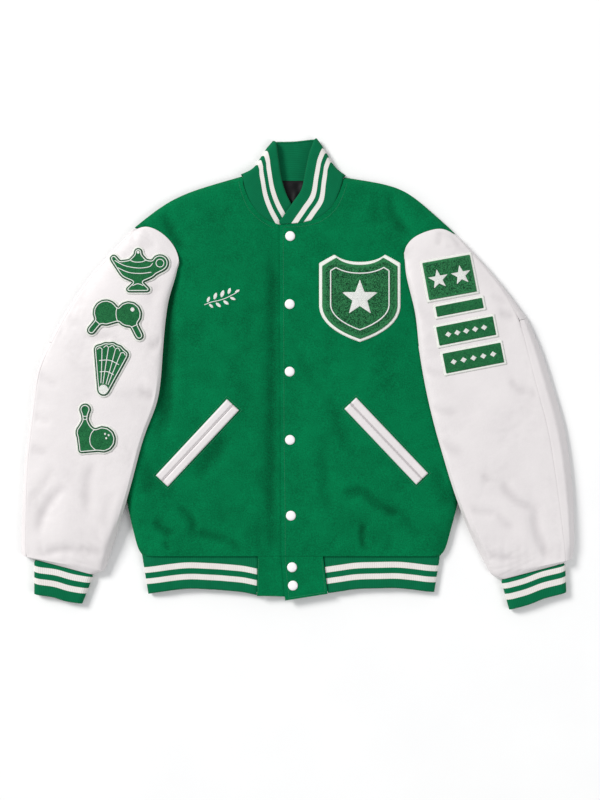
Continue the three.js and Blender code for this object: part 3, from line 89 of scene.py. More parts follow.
def through(values, at):
    """Values of a smooth curve through a list, at places counted in list steps."""
    values = np.asarray(values, float)
    base = np.clip(np.floor(at).astype(int), 0, len(values) - 2)
    t = at - base
    p0, p1 = values[np.maximum(base - 1, 0)], values[base]
    p2, p3 = values[base + 1], values[np.minimum(base + 2, len(values) - 1)]
    bend = (p0 * -1 + p2) / 2, (p1 * -1 + p3) / 2
    return (
        p1 * (2 * t**3 - 3 * t**2 + 1)
        + bend[0] * (t**3 - 2 * t**2 + t)
        + p2 * (3 * t**2 - 2 * t**3)
        + bend[1] * (t**3 - t**2)
    )


def walked(points):
    """Length along a list of points up to each of them."""
    steps = np.linalg.norm(np.diff(points, axis=0), axis=1)
    return np.concatenate([[0], np.cumsum(steps)])


def evenly(points, step, closed=False):
    """The same line with its points a step apart."""
    points = np.asarray(points, float)
    if closed:
        points = np.vstack([points, points[:1]])
    along = walked(points)
    count = max(2, int(round(along[-1] / step)))
    at = np.linspace(0, along[-1], count + 1)
    line = np.stack([np.interp(at, along, points[:, k]) for k in range(points.shape[1])], axis=1)
    return line[:-1] if closed else line


def ripples(x, y, length, seed, stretch=1.0):
    """Gentle unevenness between about -1 and 1, its waves about a length long."""
    rng = np.random.default_rng(seed)
    total = np.zeros_like(x)
    for _ in range(9):
        turn = rng.uniform(0, math.pi)
        pace = 2 * math.pi / (length * rng.uniform(0.7, 1.5))
        start = rng.uniform(0, 2 * math.pi)
        total += np.sin(pace * (math.cos(turn) * x + math.sin(turn) * y * stretch) + start)
    return total / 4.5


def crease(x, y, row):
    """Height of one soft fold, with a low swell beside it."""
    from_x, from_y, to_x, to_y, rise, width, bow = row
    dx, dy = to_x - from_x, to_y - from_y
    length = math.hypot(dx, dy)
    along = ((x - from_x) * dx + (y - from_y) * dy) / length**2
    across = ((x - from_x) * dy - (y - from_y) * dx) / length
    across = across - bow * 4 * np.clip(along, 0, 1) * (1 - np.clip(along, 0, 1))
    ends = smooth((along + 0.12) / 0.34) * smooth((1.12 - along) / 0.34)
    dip = np.exp(-((across / width) ** 2))
    swell = np.exp(-(((np.abs(across) - 2.1 * width) / (1.1 * width)) ** 2))
    return rise * ends * (dip - 0.22 * swell)


# Folds and creases

BODY_CREASES = [
    (-222, 268, -186, 206, -2.4, 8, 5),
    (-176, 268, -150, 214, 1.5, 14, -6),
    # This deep trough beside the right sleeve is dark with painted shade, which stands for the fold there
    # and the sleeve's shadow on the body.
    (-213, 200, -221, -80, -5.4, 12, 0),
    (-68, 120, -86, 30, -1.2, 16, 6),
    (-120, -92, -170, -168, -1.6, 12, -4),
    (-199, -216, -172, -262, -2.6, 8, -8),
    (-172, -262, -93, -287, -2.4, 8, -7),
    (-237, -238, -208, -262, -2.4, 8, 4),
    (-222, -274, -212, -290, -1.8, 4, 0),
    (-150, -236, -118, -262, 1.5, 10, 3),
    (-60, -228, -66, -288, -1.2, 9, 3),
    (-43, 210, -45, -290, -2.6, 10, 0),
    (3, 35, 44, -34, -1.2, 10, 5),
    (44, -34, 76, -122, -1.2, 12, -4),
    (44, -87, 49, -219, -1.4, 11, 5),
    (75, -193, 106, -187, -2.4, 9, 2),
    (106, -187, 171, -228, -3.2, 10, 8),
    (171, -228, 206, -268, -1.4, 10, 4),
    (108, -245, 111, -289, -2.6, 5, 4),
    (150, -262, 146, -290, -1.2, 7, -2),
    (60, -262, 57, -290, -1.0, 7, 2),
    (149, 302, 184, 228, -2.4, 10, 8),
    (126, 286, 140, 248, -1.5, 14, 4),
    (196, 292, 214, 258, -1.5, 9, -4),
    (225, -150, 250, -212, -1.3, 12, 6),
    (-262, -120, -246, -200, -1.5, 12, -6),
]
BACK_CREASES = [
    (-205, 196, -120, 150, 0.9, 9, 8),
    (190, 190, 118, 140, 0.9, 9, -8),
    (-60, 262, 44, 258, 0.7, 10, 6),
    (-232, -60, -170, -150, 0.8, 10, 8),
    (214, -70, 150, -166, 0.8, 10, -8),
    (-20, 60, -34, -130, 0.6, 12, 8),
    (-140, -238, -120, -290, 1.0, 7, 3),
    (30, -244, 34, -290, 0.9, 7, -3),
    (128, -232, 112, -288, 1.0, 7, 4),
]
RIGHT_SLEEVE_CREASES = [
    (-351, 69, -303, 65, -1.4, 6.5, 4),
    (-303, 65, -286, 50, -1.1, 6.5, 2),
    (-246, 46, -224, 58, -1.4, 7, 2),
    (-262, -24, -228, -36, -1.5, 7, 3),
    (-330, -30, -262, -26, -0.7, 10, 5),
    (-385, -182, -428, -261, -1.7, 8.5, 10),
    (-337, -144, -346, -226, -1.3, 8.5, 6),
    (-404, -150, -444, -206, -0.9, 8.5, -6),
    (-420, -296, -364, -287, -1.4, 7, -4),
    (-364, -287, -324, -296, -1.3, 7, -3),
    (-300, -188, -318, -250, -0.9, 10, 5),
    (-432, 6, -396, -16, -1.0, 7, 3),
    (-440, -60, -408, -78, -1.1, 7, 3),
    (-446, -118, -412, -128, -0.9, 7, 2),
    (-228, 150, -246, 108, -0.8, 10, 4),
    (-232, 214, -262, 208, -0.7, 8.5, 2),
    (-216, 190, -250, 176, -0.6, 8.5, 2),
    (-378, 96, -352, 78, -0.8, 7, 2),
]
LEFT_SLEEVE_CREASES = [
    (331, 106, 357, 98, -1.4, 6.5, 3),
    (318, 132, 344, 120, -0.9, 6.5, 2),
    (348, -7, 379, -30, -1.5, 7, 4),
    (379, -30, 412, -34, -1.1, 7, -2),
    (335, -179, 388, -219, -1.8, 7.5, 7),
    (388, -219, 414, -303, -1.8, 8.5, 8),
    (302, -162, 313, -175, -1.4, 6.5, 1),
    (282, -219, 326, -224, -1.5, 7, 3),
    (326, -224, 352, -252, -1.1, 7, 3),
    (300, -292, 352, -300, -1.3, 7, 3),
    (236, 237, 232, 213, -1.2, 6.5, 1),
    (252, 234, 270, 213, -1.2, 6.5, 2),
    (244, 236, 250, 206, -0.7, 5.5, 1),
    (208, 10, 246, 2, -1.1, 7, 3),
    (216, -52, 262, -60, -1.2, 7, 4),
    (232, -110, 270, -128, -0.9, 8.5, 3),
    (440, -92, 408, -110, -1.1, 7, 3),
    (450, -170, 424, -186, -1.0, 7, 3),
    (402, 30, 376, 10, -0.9, 7, 3),
    (196, 120, 214, 92, -0.8, 8.5, 3),
]
UNDER_SLEEVE_CREASES = [
    (-430, -60, -380, -90, 1.2, 7, 6),
    (-440, -180, -380, -210, 1.2, 7, -6),
    (-360, 60, -320, 20, 1.0, 7, 5),
    (420, -70, 372, -96, 1.2, 7, -6),
    (440, -190, 380, -214, 1.2, 7, 6),
    (330, 80, 300, 40, 1.0, 7, -5),
]


# Shader maths

class Wire:
    """A socket that sums, products and comparisons can be written with."""

    def __init__(self, finish, socket):
        self.finish = finish
        self.socket = socket

    def reckon(self, operation, *others, clamp=False):
        values = {k: v for k, v in enumerate([self, *others])}
        return self.finish.node("ShaderNodeMath", {"operation": operation, "use_clamp": clamp}, values)

    def flipped(self, operation, other):
        return self.finish.node("ShaderNodeMath", {"operation": operation}, {0: other, 1: self})

    def __add__(self, other):
        return self.reckon("ADD", other)

    def __sub__(self, other):
        return self.reckon("SUBTRACT", other)

    def __mul__(self, other):
        return self.reckon("MULTIPLY", other)

    def __truediv__(self, other):
        return self.reckon("DIVIDE", other)

    def __rsub__(self, other):
        return self.flipped("SUBTRACT", other)

    def __rtruediv__(self, other):
        return self.flipped("DIVIDE", other)

    __radd__ = __add__
    __rmul__ = __mul__

    def held(self):
        """The same value, kept from 0 to 1."""
        return self.reckon("ADD", 0.0, clamp=True)

    def wave(self, length):
        """From 0 to 1 and back over each length."""
        return (self * (2 * math.pi / length)).reckon("COSINE") * 0.5 + 0.5

    def between(self, low, high, soft):
        """1 inside a band, with soft edges."""
        rise = ((self - low) * (1 / soft) + 0.5).held()
        fall = ((high - self) * (1 / soft) + 0.5).held()
        return rise * fall


class Finish:
    """A material and the nodes it is made of."""

    def __init__(self, name):
        self.material = bpy.data.materials.new(name)
        self.material.use_nodes = True
        self.tree = self.material.node_tree
        self.tree.nodes.clear()

    def node(self, kind, settings=None, values=None, output=0):
        made = self.tree.nodes.new(kind)
        for name, value in (settings or {}).items():
            setattr(made, name, value)
        for name, value in (values or {}).items():
            socket = made.inputs[name]
            if isinstance(value, Wire):
                self.tree.links.new(value.socket, socket)
            else:
                socket.default_value = value
        return None if output is None else Wire(self, made.outputs[output])

    def place(self, stretch=(1, 1, 1)):
        where = self.node("ShaderNodeTexCoord", output="Object")
        return self.node("ShaderNodeMapping", {}, {"Vector": where, "Scale": stretch})

    def noise(self, size, detail=3, rough=0.55, stretch=(1, 1, 1)):
        """Noise with features of a size in millimetres."""
        values = {
            "Vector": self.place(stretch), "Scale": 1 / (size * MM), "Detail": detail, "Roughness": rough,
        }
        return self.node("ShaderNodeTexNoise", {}, values)

    def cells(self, size, feature="F1", smoothness=None):
        """Distance to scattered points that lie a size apart, in millimetres."""
        values = {"Vector": self.place(), "Scale": 1 / (size * MM)}
        if smoothness is not None:
            values["Smoothness"] = smoothness
        return self.node("ShaderNodeTexVoronoi", {"feature": feature}, values)

    def carried(self, name):
        return self.node("ShaderNodeAttribute", {"attribute_name": name}, {}, output="Fac")

    def blend(self, share, first, second):
        return self.node("ShaderNodeMix", {"data_type": "RGBA"}, {0: share, 6: first, 7: second}, output=2)

    def bump(self, height, strength, depth, normal=None):
        values = {"Height": height, "Strength": strength, "Distance": depth * MM}
        if normal is not None:
            values["Normal"] = normal
        return self.node("ShaderNodeBump", {}, values)

    def done(self, **values):
        """Ends the material in one shader, with its sockets by name."""
        named = {key.replace("_", " "): value for key, value in values.items()}
        shader = self.node("ShaderNodeBsdfPrincipled", {}, named)
        self.node("ShaderNodeOutputMaterial", {}, {"Surface": shader}, output=None)
        return self.material


def paint(red, green, blue):
    """A colour given as screen values from 0 to 255."""
    def light(value):
        v = value / 255
        return v / 12.92 if v <= 0.04045 else ((v + 0.055) / 1.055) ** 2.4
    return (light(red), light(green), light(blue), 1.0)


def wool_finish():
    f = Finish("melton_wool")
    cloud = f.noise(34, 3, 0.55)
    nap = f.noise(1.7, 5, 0.75)
    fibre = f.noise(0.5, 3, 0.6, (1, 0.35, 1))
    fleck = ((f.noise(2.4, 2, 0.5) - 0.66) * 9).held()
    dent = f.carried("dent")
    # Painted shade: the wool is darker where it lies deep in a crease; cloud and nap are its own tone.
    shade = 0.6 - dent * 0.55 + (cloud - 0.5) * 0.7 + (nap - 0.5) * 2.6
    felted = f.blend(shade.held(), paint(0, 74, 42), paint(0, 122, 73))
    colour = f.blend(fleck * 0.16, felted, paint(40, 150, 100))
    bump = f.bump(nap * 0.7 + fibre * 0.5, 0.5, 0.5)
    return f.done(Base_Color=colour, Roughness=nap * 0.12 + 0.84, Normal=bump,
                  Sheen_Weight=0.03, Sheen_Roughness=0.45, Specular_IOR_Level=0.05)


def leather_finish():
    f = Finish("white_leather")
    grain = f.cells(1.15, "SMOOTH_F1", 0.35)
    pores = f.noise(0.6, 3, 0.5)
    cockle = f.noise(9, 4, 0.6)
    dent = f.carried("dent")
    soil = f.noise(60, 3, 0.55)
    # Painted shade: darker where the leather lies deep in a crease, or where a seam or slit cord asks for
    # it; the soil and grain noises are its own tone.
    shade = (dent * 0.6 + (soil - 0.5) * 0.3 + (1 - grain) * 0.1).held()
    colour = f.blend(shade, paint(224, 219, 219), paint(170, 164, 166))
    near = f.bump(1 - grain + pores * 0.25, 0.3, 0.35)
    broad = f.bump(cockle, 0.25, 1.4, near)
    return f.done(Base_Color=colour, Roughness=0.42 + cockle * 0.14 - grain * 0.05, Normal=broad,
                  Specular_IOR_Level=0.45, Coat_Weight=0.05, Coat_Roughness=0.3)


def knit_finish(name, stripes):
    """Rib knit with pale stripes on its outer side, given in millimetres from the free edge."""
    f = Finish(name)
    along = f.carried("along")
    edge = f.carried("edge")
    outer = f.carried("outer")
    rib = along.wave(RIB_PITCH)
    course = edge.wave(3.1)
    stitch = (edge + rib * 0.5).wave(1.25)
    fuzz = f.noise(0.55, 4, 0.65)
    cloud = f.noise(14, 3, 0.6)
    ridge = rib * outer + course * (1 - outer)
    # The rib and stitch waves paint shade into the hollows between ribs and stitches; fuzz and cloud are
    # the yarn's own tone.
    grain = ridge * 0.18 + stitch * 0.14 + fuzz * 0.4 + cloud * 0.28
    yarn = f.blend(grain, paint(0, 74, 46), paint(4, 122, 78))
    pale = f.blend(grain, paint(204, 200, 196), paint(240, 236, 231))
    jag = edge + (rib - 0.5) * 0.3 + (fuzz - 0.5) * 0.5
    mask = outer * 0
    for low, high in stripes:
        mask = mask + jag.between(low, high, 0.5) * outer
    colour = f.blend(mask, yarn, pale)
    bump = f.bump(ridge * 0.6 + stitch * 0.35 + fuzz * 0.35, 0.5, 0.5)
    return f.done(Base_Color=colour, Roughness=0.82 + fuzz * 0.12, Normal=bump,
                  Sheen_Weight=0.04, Sheen_Roughness=0.5, Specular_IOR_Level=0.08)


def pile_finish(name, low, high, size):
    """Looped or cut pile, with painted shade between the loops."""
    f = Finish(name)
    loops = f.cells(size)
    curl = f.noise(size * 0.8, 4, 0.7)
    patchy = f.noise(8, 3, 0.6)
    flat = f.carried("flat")
    # Painted shade: lighter on the loop tops, darker between them; the curl and patchy noises are the
    # pile's own tone.
    top = (1.15 - loops * 1.5 + (curl - 0.5) * 0.9 + (patchy - 0.5) * 0.7)
    share = (top * (1 - flat * 0.5) + flat * 0.42).held()
    colour = f.blend(share, low, high)
    bump = f.bump(1 - loops + curl * 0.7, 0.8, 0.7)
    return f.done(Base_Color=colour, Roughness=0.9 + curl * 0.08, Normal=bump,
                  Sheen_Weight=0.1, Sheen_Roughness=0.5, Specular_IOR_Level=0.2)


def felt_finish(name, low, high):
    f = Finish(name)
    fibre = f.noise(0.8, 5, 0.75)
    cloud = f.noise(7, 3, 0.6)
    colour = f.blend(fibre * 0.7 + cloud * 0.3, low, high)
    bump = f.bump(fibre, 0.5, 0.35)
    return f.done(Base_Color=colour, Roughness=0.86 + fibre * 0.1, Normal=bump,
                  Sheen_Weight=0.12, Sheen_Roughness=0.5, Specular_IOR_Level=0.25)


def thread_finish(name, low, high):
    """Sewing thread, its strands twisted, with painted shade in the grooves of the twist."""
    f = Finish(name)
    along = f.carried("along")
    twist = along.wave(0.5)
    fuzz = f.noise(0.4, 3, 0.6)
    # Painted shade: darker in each turn of the twist; the fuzz noise is the thread's own tone.
    colour = f.blend(twist * 0.6 + fuzz * 0.4, low, high)
    bump = f.bump(twist + fuzz * 0.4, 0.5, 0.2)
    return f.done(Base_Color=colour, Roughness=0.5 + fuzz * 0.15, Normal=bump, Specular_IOR_Level=0.4)


def satin_finish():
    f = Finish("black_satin_lining")
    weave = f.noise(0.5, 2, 0.5, (1, 6, 1))
    cloud = f.noise(16, 3, 0.6)
    colour = f.blend(cloud, paint(3, 3, 4), paint(13, 12, 15))
    bump = f.bump(weave, 0.25, 0.15)
    return f.done(Base_Color=colour, Roughness=0.48 + cloud * 0.18, Normal=bump, Specular_IOR_Level=0.22)


def enamel_finish():
    f = Finish("white_snap_enamel")
    scuff = f.noise(3.5, 4, 0.6)
    speck = f.cells(2.2)
    worn = ((scuff - 0.58) * 6).held()
    colour = f.blend(worn * 0.5, paint(246, 242, 244), paint(214, 208, 208))
    bump = f.bump(scuff * 0.6 + speck * 0.2, 0.12, 0.3)
    return f.done(Base_Color=colour, Roughness=0.2 + worn * 0.25 + scuff * 0.08, Normal=bump,
                  Coat_Weight=0.35, Coat_Roughness=0.12)


def floor_finish():
    f = Finish("pale_floor")
    cloud = f.noise(160, 3, 0.5)
    colour = f.blend(cloud, paint(240, 240, 240), paint(246, 246, 245))
    return f.done(Base_Color=colour, Roughness=0.75 + cloud * 0.1, Specular_IOR_Level=0.2)


WOOL_FINISH = wool_finish()
LEATHER_FINISH = leather_finish()
FELT_FINISH = felt_finish("white_felt", paint(214, 216, 208), paint(242, 243, 237))
PILE_FINISH = pile_finish("green_chenille", paint(2, 56, 30), paint(52, 136, 82), 1.7)
TWILL_FINISH = pile_finish("green_bar_face", paint(10, 78, 44), paint(40, 126, 72), 1.1)
GREEN_THREAD = thread_finish("green_thread", paint(2, 92, 58), paint(44, 156, 110))
DARK_THREAD = thread_finish("dark_green_thread", paint(10, 40, 26), paint(30, 74, 50))
WHITE_THREAD = thread_finish("white_thread", paint(206, 208, 202), paint(246, 247, 244))
SATIN_FINISH = satin_finish()
ENAMEL_FINISH = enamel_finish()


# Meshes

def to_object(name, points, faces, finish, attributes=None):
    """A smooth-shaded object from points in plan millimetres."""
    places = np.asarray(points, float) * MM
    places = places + np.array([SHIFT_X * MM, SHIFT_Y * MM, 0])
    mesh = bpy.data.meshes.new(name)
    mesh.from_pydata(places.tolist(), [], [list(face) for face in faces])
    for key, values in (attributes or {}).items():
        layer = mesh.attributes.new(key, "FLOAT", "POINT")
        layer.data.foreach_set("value", np.asarray(values, np.float32))
    mesh.polygons.foreach_set("use_smooth", [True] * len(mesh.polygons))
    mesh.materials.append(finish)
    mesh.update()
    made = bpy.data.objects.new(name, mesh)
    bpy.context.scene.collection.objects.link(made)
    return made


def plan_points(mesh):
    """A mesh's points in plan millimetres."""
    places = np.empty(len(mesh.vertices) * 3)
    mesh.vertices.foreach_get("co", places)
    return places.reshape(-1, 3) / MM - np.array([SHIFT_X, SHIFT_Y, 0])


def put_points(mesh, points):
    places = (np.asarray(points) + np.array([SHIFT_X, SHIFT_Y, 0])) * MM
    mesh.vertices.foreach_set("co", places.ravel())
    mesh.update()


def outward(mesh):
    """Turns every face of a closed mesh outwards."""
    shape = bmesh.new()
    shape.from_mesh(mesh)
    bmesh.ops.recalc_face_normals(shape, faces=shape.faces)
    shape.to_mesh(mesh)
    shape.free()


def shell(name, outer, inner, finish, closed=False, attributes=None):
    """A closed wall between two grids of points, columns by rows."""
    columns, rows = outer.shape[:2]
    points = np.vstack([outer.reshape(-1, 3), inner.reshape(-1, 3)])
    spans = columns if closed else columns - 1
    half = columns * rows

    def at(i, j, side):
        return side * half + (i % columns) * rows + j

    faces = []
    for i in range(spans):
        for j in range(rows - 1):
            for side in (0, 1):
                near = (at(i, j, side), at(i + 1, j, side))
                far = (at(i + 1, j + 1, side), at(i, j + 1, side))
                faces.append(near + far)
        for j in (0, rows - 1):
            faces.append((at(i, j, 0), at(i + 1, j, 0), at(i + 1, j, 1), at(i, j, 1)))
    if not closed:
        for i in (0, columns - 1):
            for j in range(rows - 1):
                faces.append((at(i, j, 0), at(i, j + 1, 0), at(i, j + 1, 1), at(i, j, 1)))
    both = {key: np.concatenate([a.ravel(), b.ravel()]) for key, (a, b) in (attributes or {}).items()}
    made = to_object(name, points, faces, finish, both)
    outward(made.data)
    return made


def grid_normals(grid, closed=False):
    """Directions square to a grid of points."""
    if closed:
        across = np.roll(grid, -1, axis=0) - np.roll(grid, 1, axis=0)
    else:
        across = np.gradient(grid, axis=0)
    down = np.gradient(grid, axis=1)
    normals = np.cross(across, down)
    return normals / np.maximum(np.linalg.norm(normals, axis=2, keepdims=True), 1e-9)


def eased(grid, passes, closed=False):
    """Evens out a grid of directions along its columns."""
    for _ in range(passes):
        if closed:
            grid = (np.roll(grid, 1, axis=0) + 2 * grid + np.roll(grid, -1, axis=0)) / 4
        else:
            grid[1:-1] = (grid[:-2] + 2 * grid[1:-1] + grid[2:]) / 4
    return grid / np.maximum(np.linalg.norm(grid, axis=2, keepdims=True), 1e-9)


# Panels of wool and leather

CREASE_ANGLE = math.radians(38)
RIM_STEP = 4.0
DEEP_DENT = 3.6


class Panel:
    """One cut piece: its solid's form made fine, then creased."""

    def __init__(self, node, levels, finish, creases, wobble, calm=9.0, rim=0.7):
        self.node = node
        self.creases = creases
        self.wobble = wobble
        self.calm = calm
        source = bpy.data.meshes.new(node + "_fine")
        shape = bmesh.new()
        shape.from_mesh(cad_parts[node].data)
        bmesh.ops.remove_doubles(shape, verts=shape.verts, dist=1e-6)
        bmesh.ops.join_triangles(
            shape, faces=shape.faces, angle_face_threshold=math.radians(32), angle_shape_threshold=math.pi,
        )
        layer = shape.edges.layers.float.new("crease_edge")
        self.rim = []
        for edge in shape.edges:
            if len(edge.link_faces) == 2 and edge.calc_face_angle() > CREASE_ANGLE:
                edge[layer] = 1.0
                start, end = edge.verts[0].co / MM, edge.verts[1].co / MM
                pieces = max(1, int((end - start).length / RIM_STEP))
                self.rim += [start.lerp(end, k / pieces) for k in range(pieces + 1)]
        shape.to_mesh(source)
        shape.free()
        self.tree = KDTree(len(self.rim))
        for index, point in enumerate(self.rim):
            self.tree.insert((point.x - SHIFT_X, point.y - SHIFT_Y, 0), index)
        self.tree.balance()
        rough = bpy.data.objects.new(node + "_rough", source)
        bpy.context.scene.collection.objects.link(rough)
        finer = rough.modifiers.new("finer", "SUBSURF")
        finer.levels = finer.render_levels = levels
        mesh = bpy.data.meshes.new_from_object(rough.evaluated_get(bpy.context.evaluated_depsgraph_get()))
        bpy.data.objects.remove(rough)
        points = plan_points(mesh)
        raised = self.lift(points[:, 0], points[:, 1])
        points[:, 2] = np.maximum(points[:, 2] + raised, 0)
        put_points(mesh, points)
        self.object = bpy.data.objects.new("cloth_" + node, mesh)
        bpy.context.scene.collection.objects.link(self.object)
        rounded = self.object.modifiers.new("rounded", "BEVEL")
        rounded.width = rim * MM
        rounded.segments = 2
        rounded.limit_method = "ANGLE"
        rounded.angle_limit = math.radians(50)
        settle(self.object)
        mesh = self.object.data
        mesh.name = node + "_cloth"
        points = plan_points(mesh)
        # How deep each point lies in a crease, stored for the finishes, which paint shade there.
        dent = np.clip(-self.lift(points[:, 0], points[:, 1]) / DEEP_DENT, 0, 1)
        layer = mesh.attributes.new("dent", "FLOAT", "POINT")
        layer.data.foreach_set("value", dent.astype(np.float32))
        mesh.polygons.foreach_set("use_smooth", [True] * len(mesh.polygons))
        mesh.materials.clear()
        mesh.materials.append(finish)
        if "crease_edge" in mesh.attributes:
            mesh.attributes.remove(mesh.attributes["crease_edge"])
        self.sight = BVHTree.FromPolygons(
            [v.co for v in mesh.vertices], [tuple(p.vertices) for p in mesh.polygons],
        )

    def lift(self, x, y):
        """How far the creases move the cloth at plan points."""
        total = self.wobble(x, y)
        for row in self.creases:
            total = total + crease(x, y, row)
        away = np.array([self.tree.find((a, b, 0))[2] for a, b in zip(x, y)])
        return total * smooth(away / self.calm)

    def top(self, x, y):
        """Height of the cloth's upper face over a plan point."""
        start = Vector(((x + SHIFT_X) * MM, (y + SHIFT_Y) * MM, 0.2))
        hit = self.sight.ray_cast(start, Vector((0, 0, -1)))[0]
        return None if hit is None else hit.z / MM


def settle(made):
    """Applies the modifiers of an object."""
    graph = bpy.context.evaluated_depsgraph_get()
    mesh = bpy.data.meshes.new_from_object(made.evaluated_get(graph))
    made.modifiers.clear()
    made.data = mesh


HEM_SEAM_Y = -298.0


def wool_wobble(x, y):
    """Slow swells of the wool and puckers above the hem seam."""
    swell = 0.75 * ripples(x, y, 95, 11) + 0.3 * ripples(x, y, 34, 12)
    pucker = ripples(x * 1.0, y * 0.12, 17, 13) * np.exp(-np.maximum(y - HEM_SEAM_Y, 0) / 17)
    return swell + 0.75 * pucker


def back_wobble(x, y):
    pucker = ripples(x, y * 0.12, 18, 23) * np.exp(-np.maximum(y - HEM_SEAM_Y, 0) / 20)
    return np.abs(0.5 * ripples(x, y, 90, 21)) + 0.7 * np.abs(pucker)


def leather_wobble(x, y):
    """Short, sharper wrinkles that run across the arm."""
    turn = np.where(x < 0, 1.0, -1.0)
    lean_x = x * 0.45 + turn * y * 0.9
    lean_y = y * 0.45 - turn * x * 0.9
    sharp = 1 - np.abs(ripples(lean_x, lean_y * 0.35, 21, 31))
    zone = smooth((ripples(x, y, 120, 32) + 0.35) / 0.8)
    gather = ripples(x, y * 0.15, 13, 33) * np.exp(-np.maximum(y + 285, 0) / 16) * 0.35
    return -0.5 * np.maximum(sharp - 0.5, 0) * 2 * zone + 0.5 * ripples(x, y, 70, 34) + gather


def no_wobble(x, y):
    return np.zeros_like(x)


PANELS = {
    "back": Panel("back", 3, WOOL_FINISH, BACK_CREASES, back_wobble),
    "front_right": Panel("front_right", 3, WOOL_FINISH, BODY_CREASES, wool_wobble),
    "front_left": Panel("front_left", 3, WOOL_FINISH, BODY_CREASES, wool_wobble),
    "hem_tab_right": Panel("hem_tab_right", 3, WOOL_FINISH, [], no_wobble),
    "hem_tab_left": Panel("hem_tab_left", 3, WOOL_FINISH, [], no_wobble),
}
for side, rows in (("right", RIGHT_SLEEVE_CREASES), ("left", LEFT_SLEEVE_CREASES)):
    top_name = "top_sleeve_" + side
    PANELS[top_name] = Panel(top_name, 3, LEATHER_FINISH, rows, leather_wobble, 7.0, 0.5)
    for part in ("upper", "lower"):
        name = "under_sleeve_" + part + "_" + side
        PANELS[name] = Panel(name, 2, LEATHER_FINISH, UNDER_SLEEVE_CREASES, no_wobble, 9.0, 0.5)


# Rib-knit bands, each a strip of stations across its width

def strip(name, stations_of, length, shares, thickness, rib_on, finish, closed=False, flip=1, spread=None):
    """A knit strip. stations_of gives the points of one width share along the strip, and spread how
    far apart its stripes lie."""
    count = int(round(length / RIB_PITCH)) * 4
    along = np.linspace(0, 1, count, endpoint=False) if closed else np.linspace(0, 1, count + 1)
    grid = np.stack([stations_of(along, share) for share in shares], axis=1)
    normals = grid_normals(grid, closed) * flip
    normals = eased(normals, 3, closed)
    length_at = along * count / 4 * RIB_PITCH
    crest = 0.5 + 0.5 * np.cos(length_at / RIB_PITCH * 2 * math.pi)
    amount = rib_on(grid, np.asarray(shares)) * RIB_RISE
    outer = grid + normals * (crest[:, None] * amount)[:, :, None]
    inner = grid - normals * thickness
    inner[:, :, 2] = np.maximum(inner[:, :, 2], 0.2)
    outer[:, :, 2] = np.maximum(outer[:, :, 2], 0)
    steps = np.linalg.norm(np.diff(grid, axis=1), axis=2)
    from_edge = np.cumsum(steps[:, ::-1], axis=1)[:, ::-1]
    edge = np.concatenate([from_edge, np.zeros((len(along), 1))], axis=1)
    if spread is not None:
        edge = edge / spread(along)[:, None]
    lengths = np.repeat(length_at[:, None], len(shares), axis=1)
    attributes = {
        "along": (lengths, lengths),
        "edge": (edge, edge),
        "outer": (np.ones_like(edge), np.zeros_like(edge)),
    }
    return shell(name, outer, inner, finish, closed, attributes)


# Hem band, a row per place from the right tab round the back to the left tab: its top and bottom,
# and how far up the side it lies, 0 on the table and 1 on top.
HEM_TOP_Y = -294.6
HEM_HEIGHT = 14.6
HEM_TUCKED = 0.17
HEM_ROWS = [
    {"top_x": -67.8, "low_x": -69, "low_y": -362.5, "up": 1},
    {"top_x": -90, "low_x": -91, "low_y": -358, "up": 1},
    {"top_x": -120, "low_x": -120, "low_y": -355, "up": 1},
    {"top_x": -152, "low_x": -150, "low_y": -353, "up": 1},
    {"top_x": -185, "low_x": -180, "low_y": -352, "up": 1},
    {"top_x": -212, "low_x": -207, "low_y": -354.5, "up": 1},
    {"top_x": -240, "low_x": -231, "low_y": -358, "up": 0.97},
    {"top_x": -254, "low_x": -243, "low_y": -360, "up": 0.8},
    {"top_x": -259.2, "low_x": -248.4, "low_y": -361, "up": 0.5},
    {"top_x": -256, "low_x": -246, "low_y": -360.5, "up": 0.14},
    {"top_x": -246, "low_x": -241, "low_y": -359.5, "up": 0},
    {"top_x": -222, "low_x": -217, "low_y": -355, "up": 0},
    {"top_x": -185, "low_x": -180, "low_y": -352, "up": 0},
    {"top_x": -122, "low_x": -120, "low_y": -355, "up": 0},
    {"top_x": -60, "low_x": -60, "low_y": -359, "up": 0},
    {"top_x": 0, "low_x": 0, "low_y": -359, "up": 0},
    {"top_x": 60, "low_x": 60, "low_y": -357, "up": 0},
    {"top_x": 112, "low_x": 110, "low_y": -353, "up": 0},
    {"top_x": 165, "low_x": 160, "low_y": -351, "up": 0},
    {"top_x": 200, "low_x": 194, "low_y": -353, "up": 0},
    {"top_x": 223, "low_x": 217, "low_y": -356.5, "up": 0},
    {"top_x": 232, "low_x": 222, "low_y": -357.5, "up": 0.14},
    {"top_x": 234.6, "low_x": 224.4, "low_y": -358, "up": 0.5},
    {"top_x": 229, "low_x": 219, "low_y": -357.5, "up": 0.8},
    {"top_x": 213, "low_x": 207, "low_y": -356, "up": 0.97},
    {"top_x": 190, "low_x": 184, "low_y": -353, "up": 1},
    {"top_x": 165, "low_x": 160, "low_y": -351, "up": 1},
    {"top_x": 130, "low_x": 129, "low_y": -351.5, "up": 1},
    {"top_x": 95, "low_x": 98, "low_y": -352.5, "up": 1},
    {"top_x": 66, "low_x": 72, "low_y": -356, "up": 1},
    {"top_x": 41.2, "low_x": 48.8, "low_y": -359.5, "up": 1},
]
HEM_SHARES = [
    0, 0.06, 0.1, 0.135, 0.17, 0.24, 0.32, 0.4, 0.48, 0.56, 0.64, 0.72, 0.8, 0.88, 0.94, 0.975, 1.0,
]
HEM_STRIPES = ((16.5, 25.5), (35, 44.5))


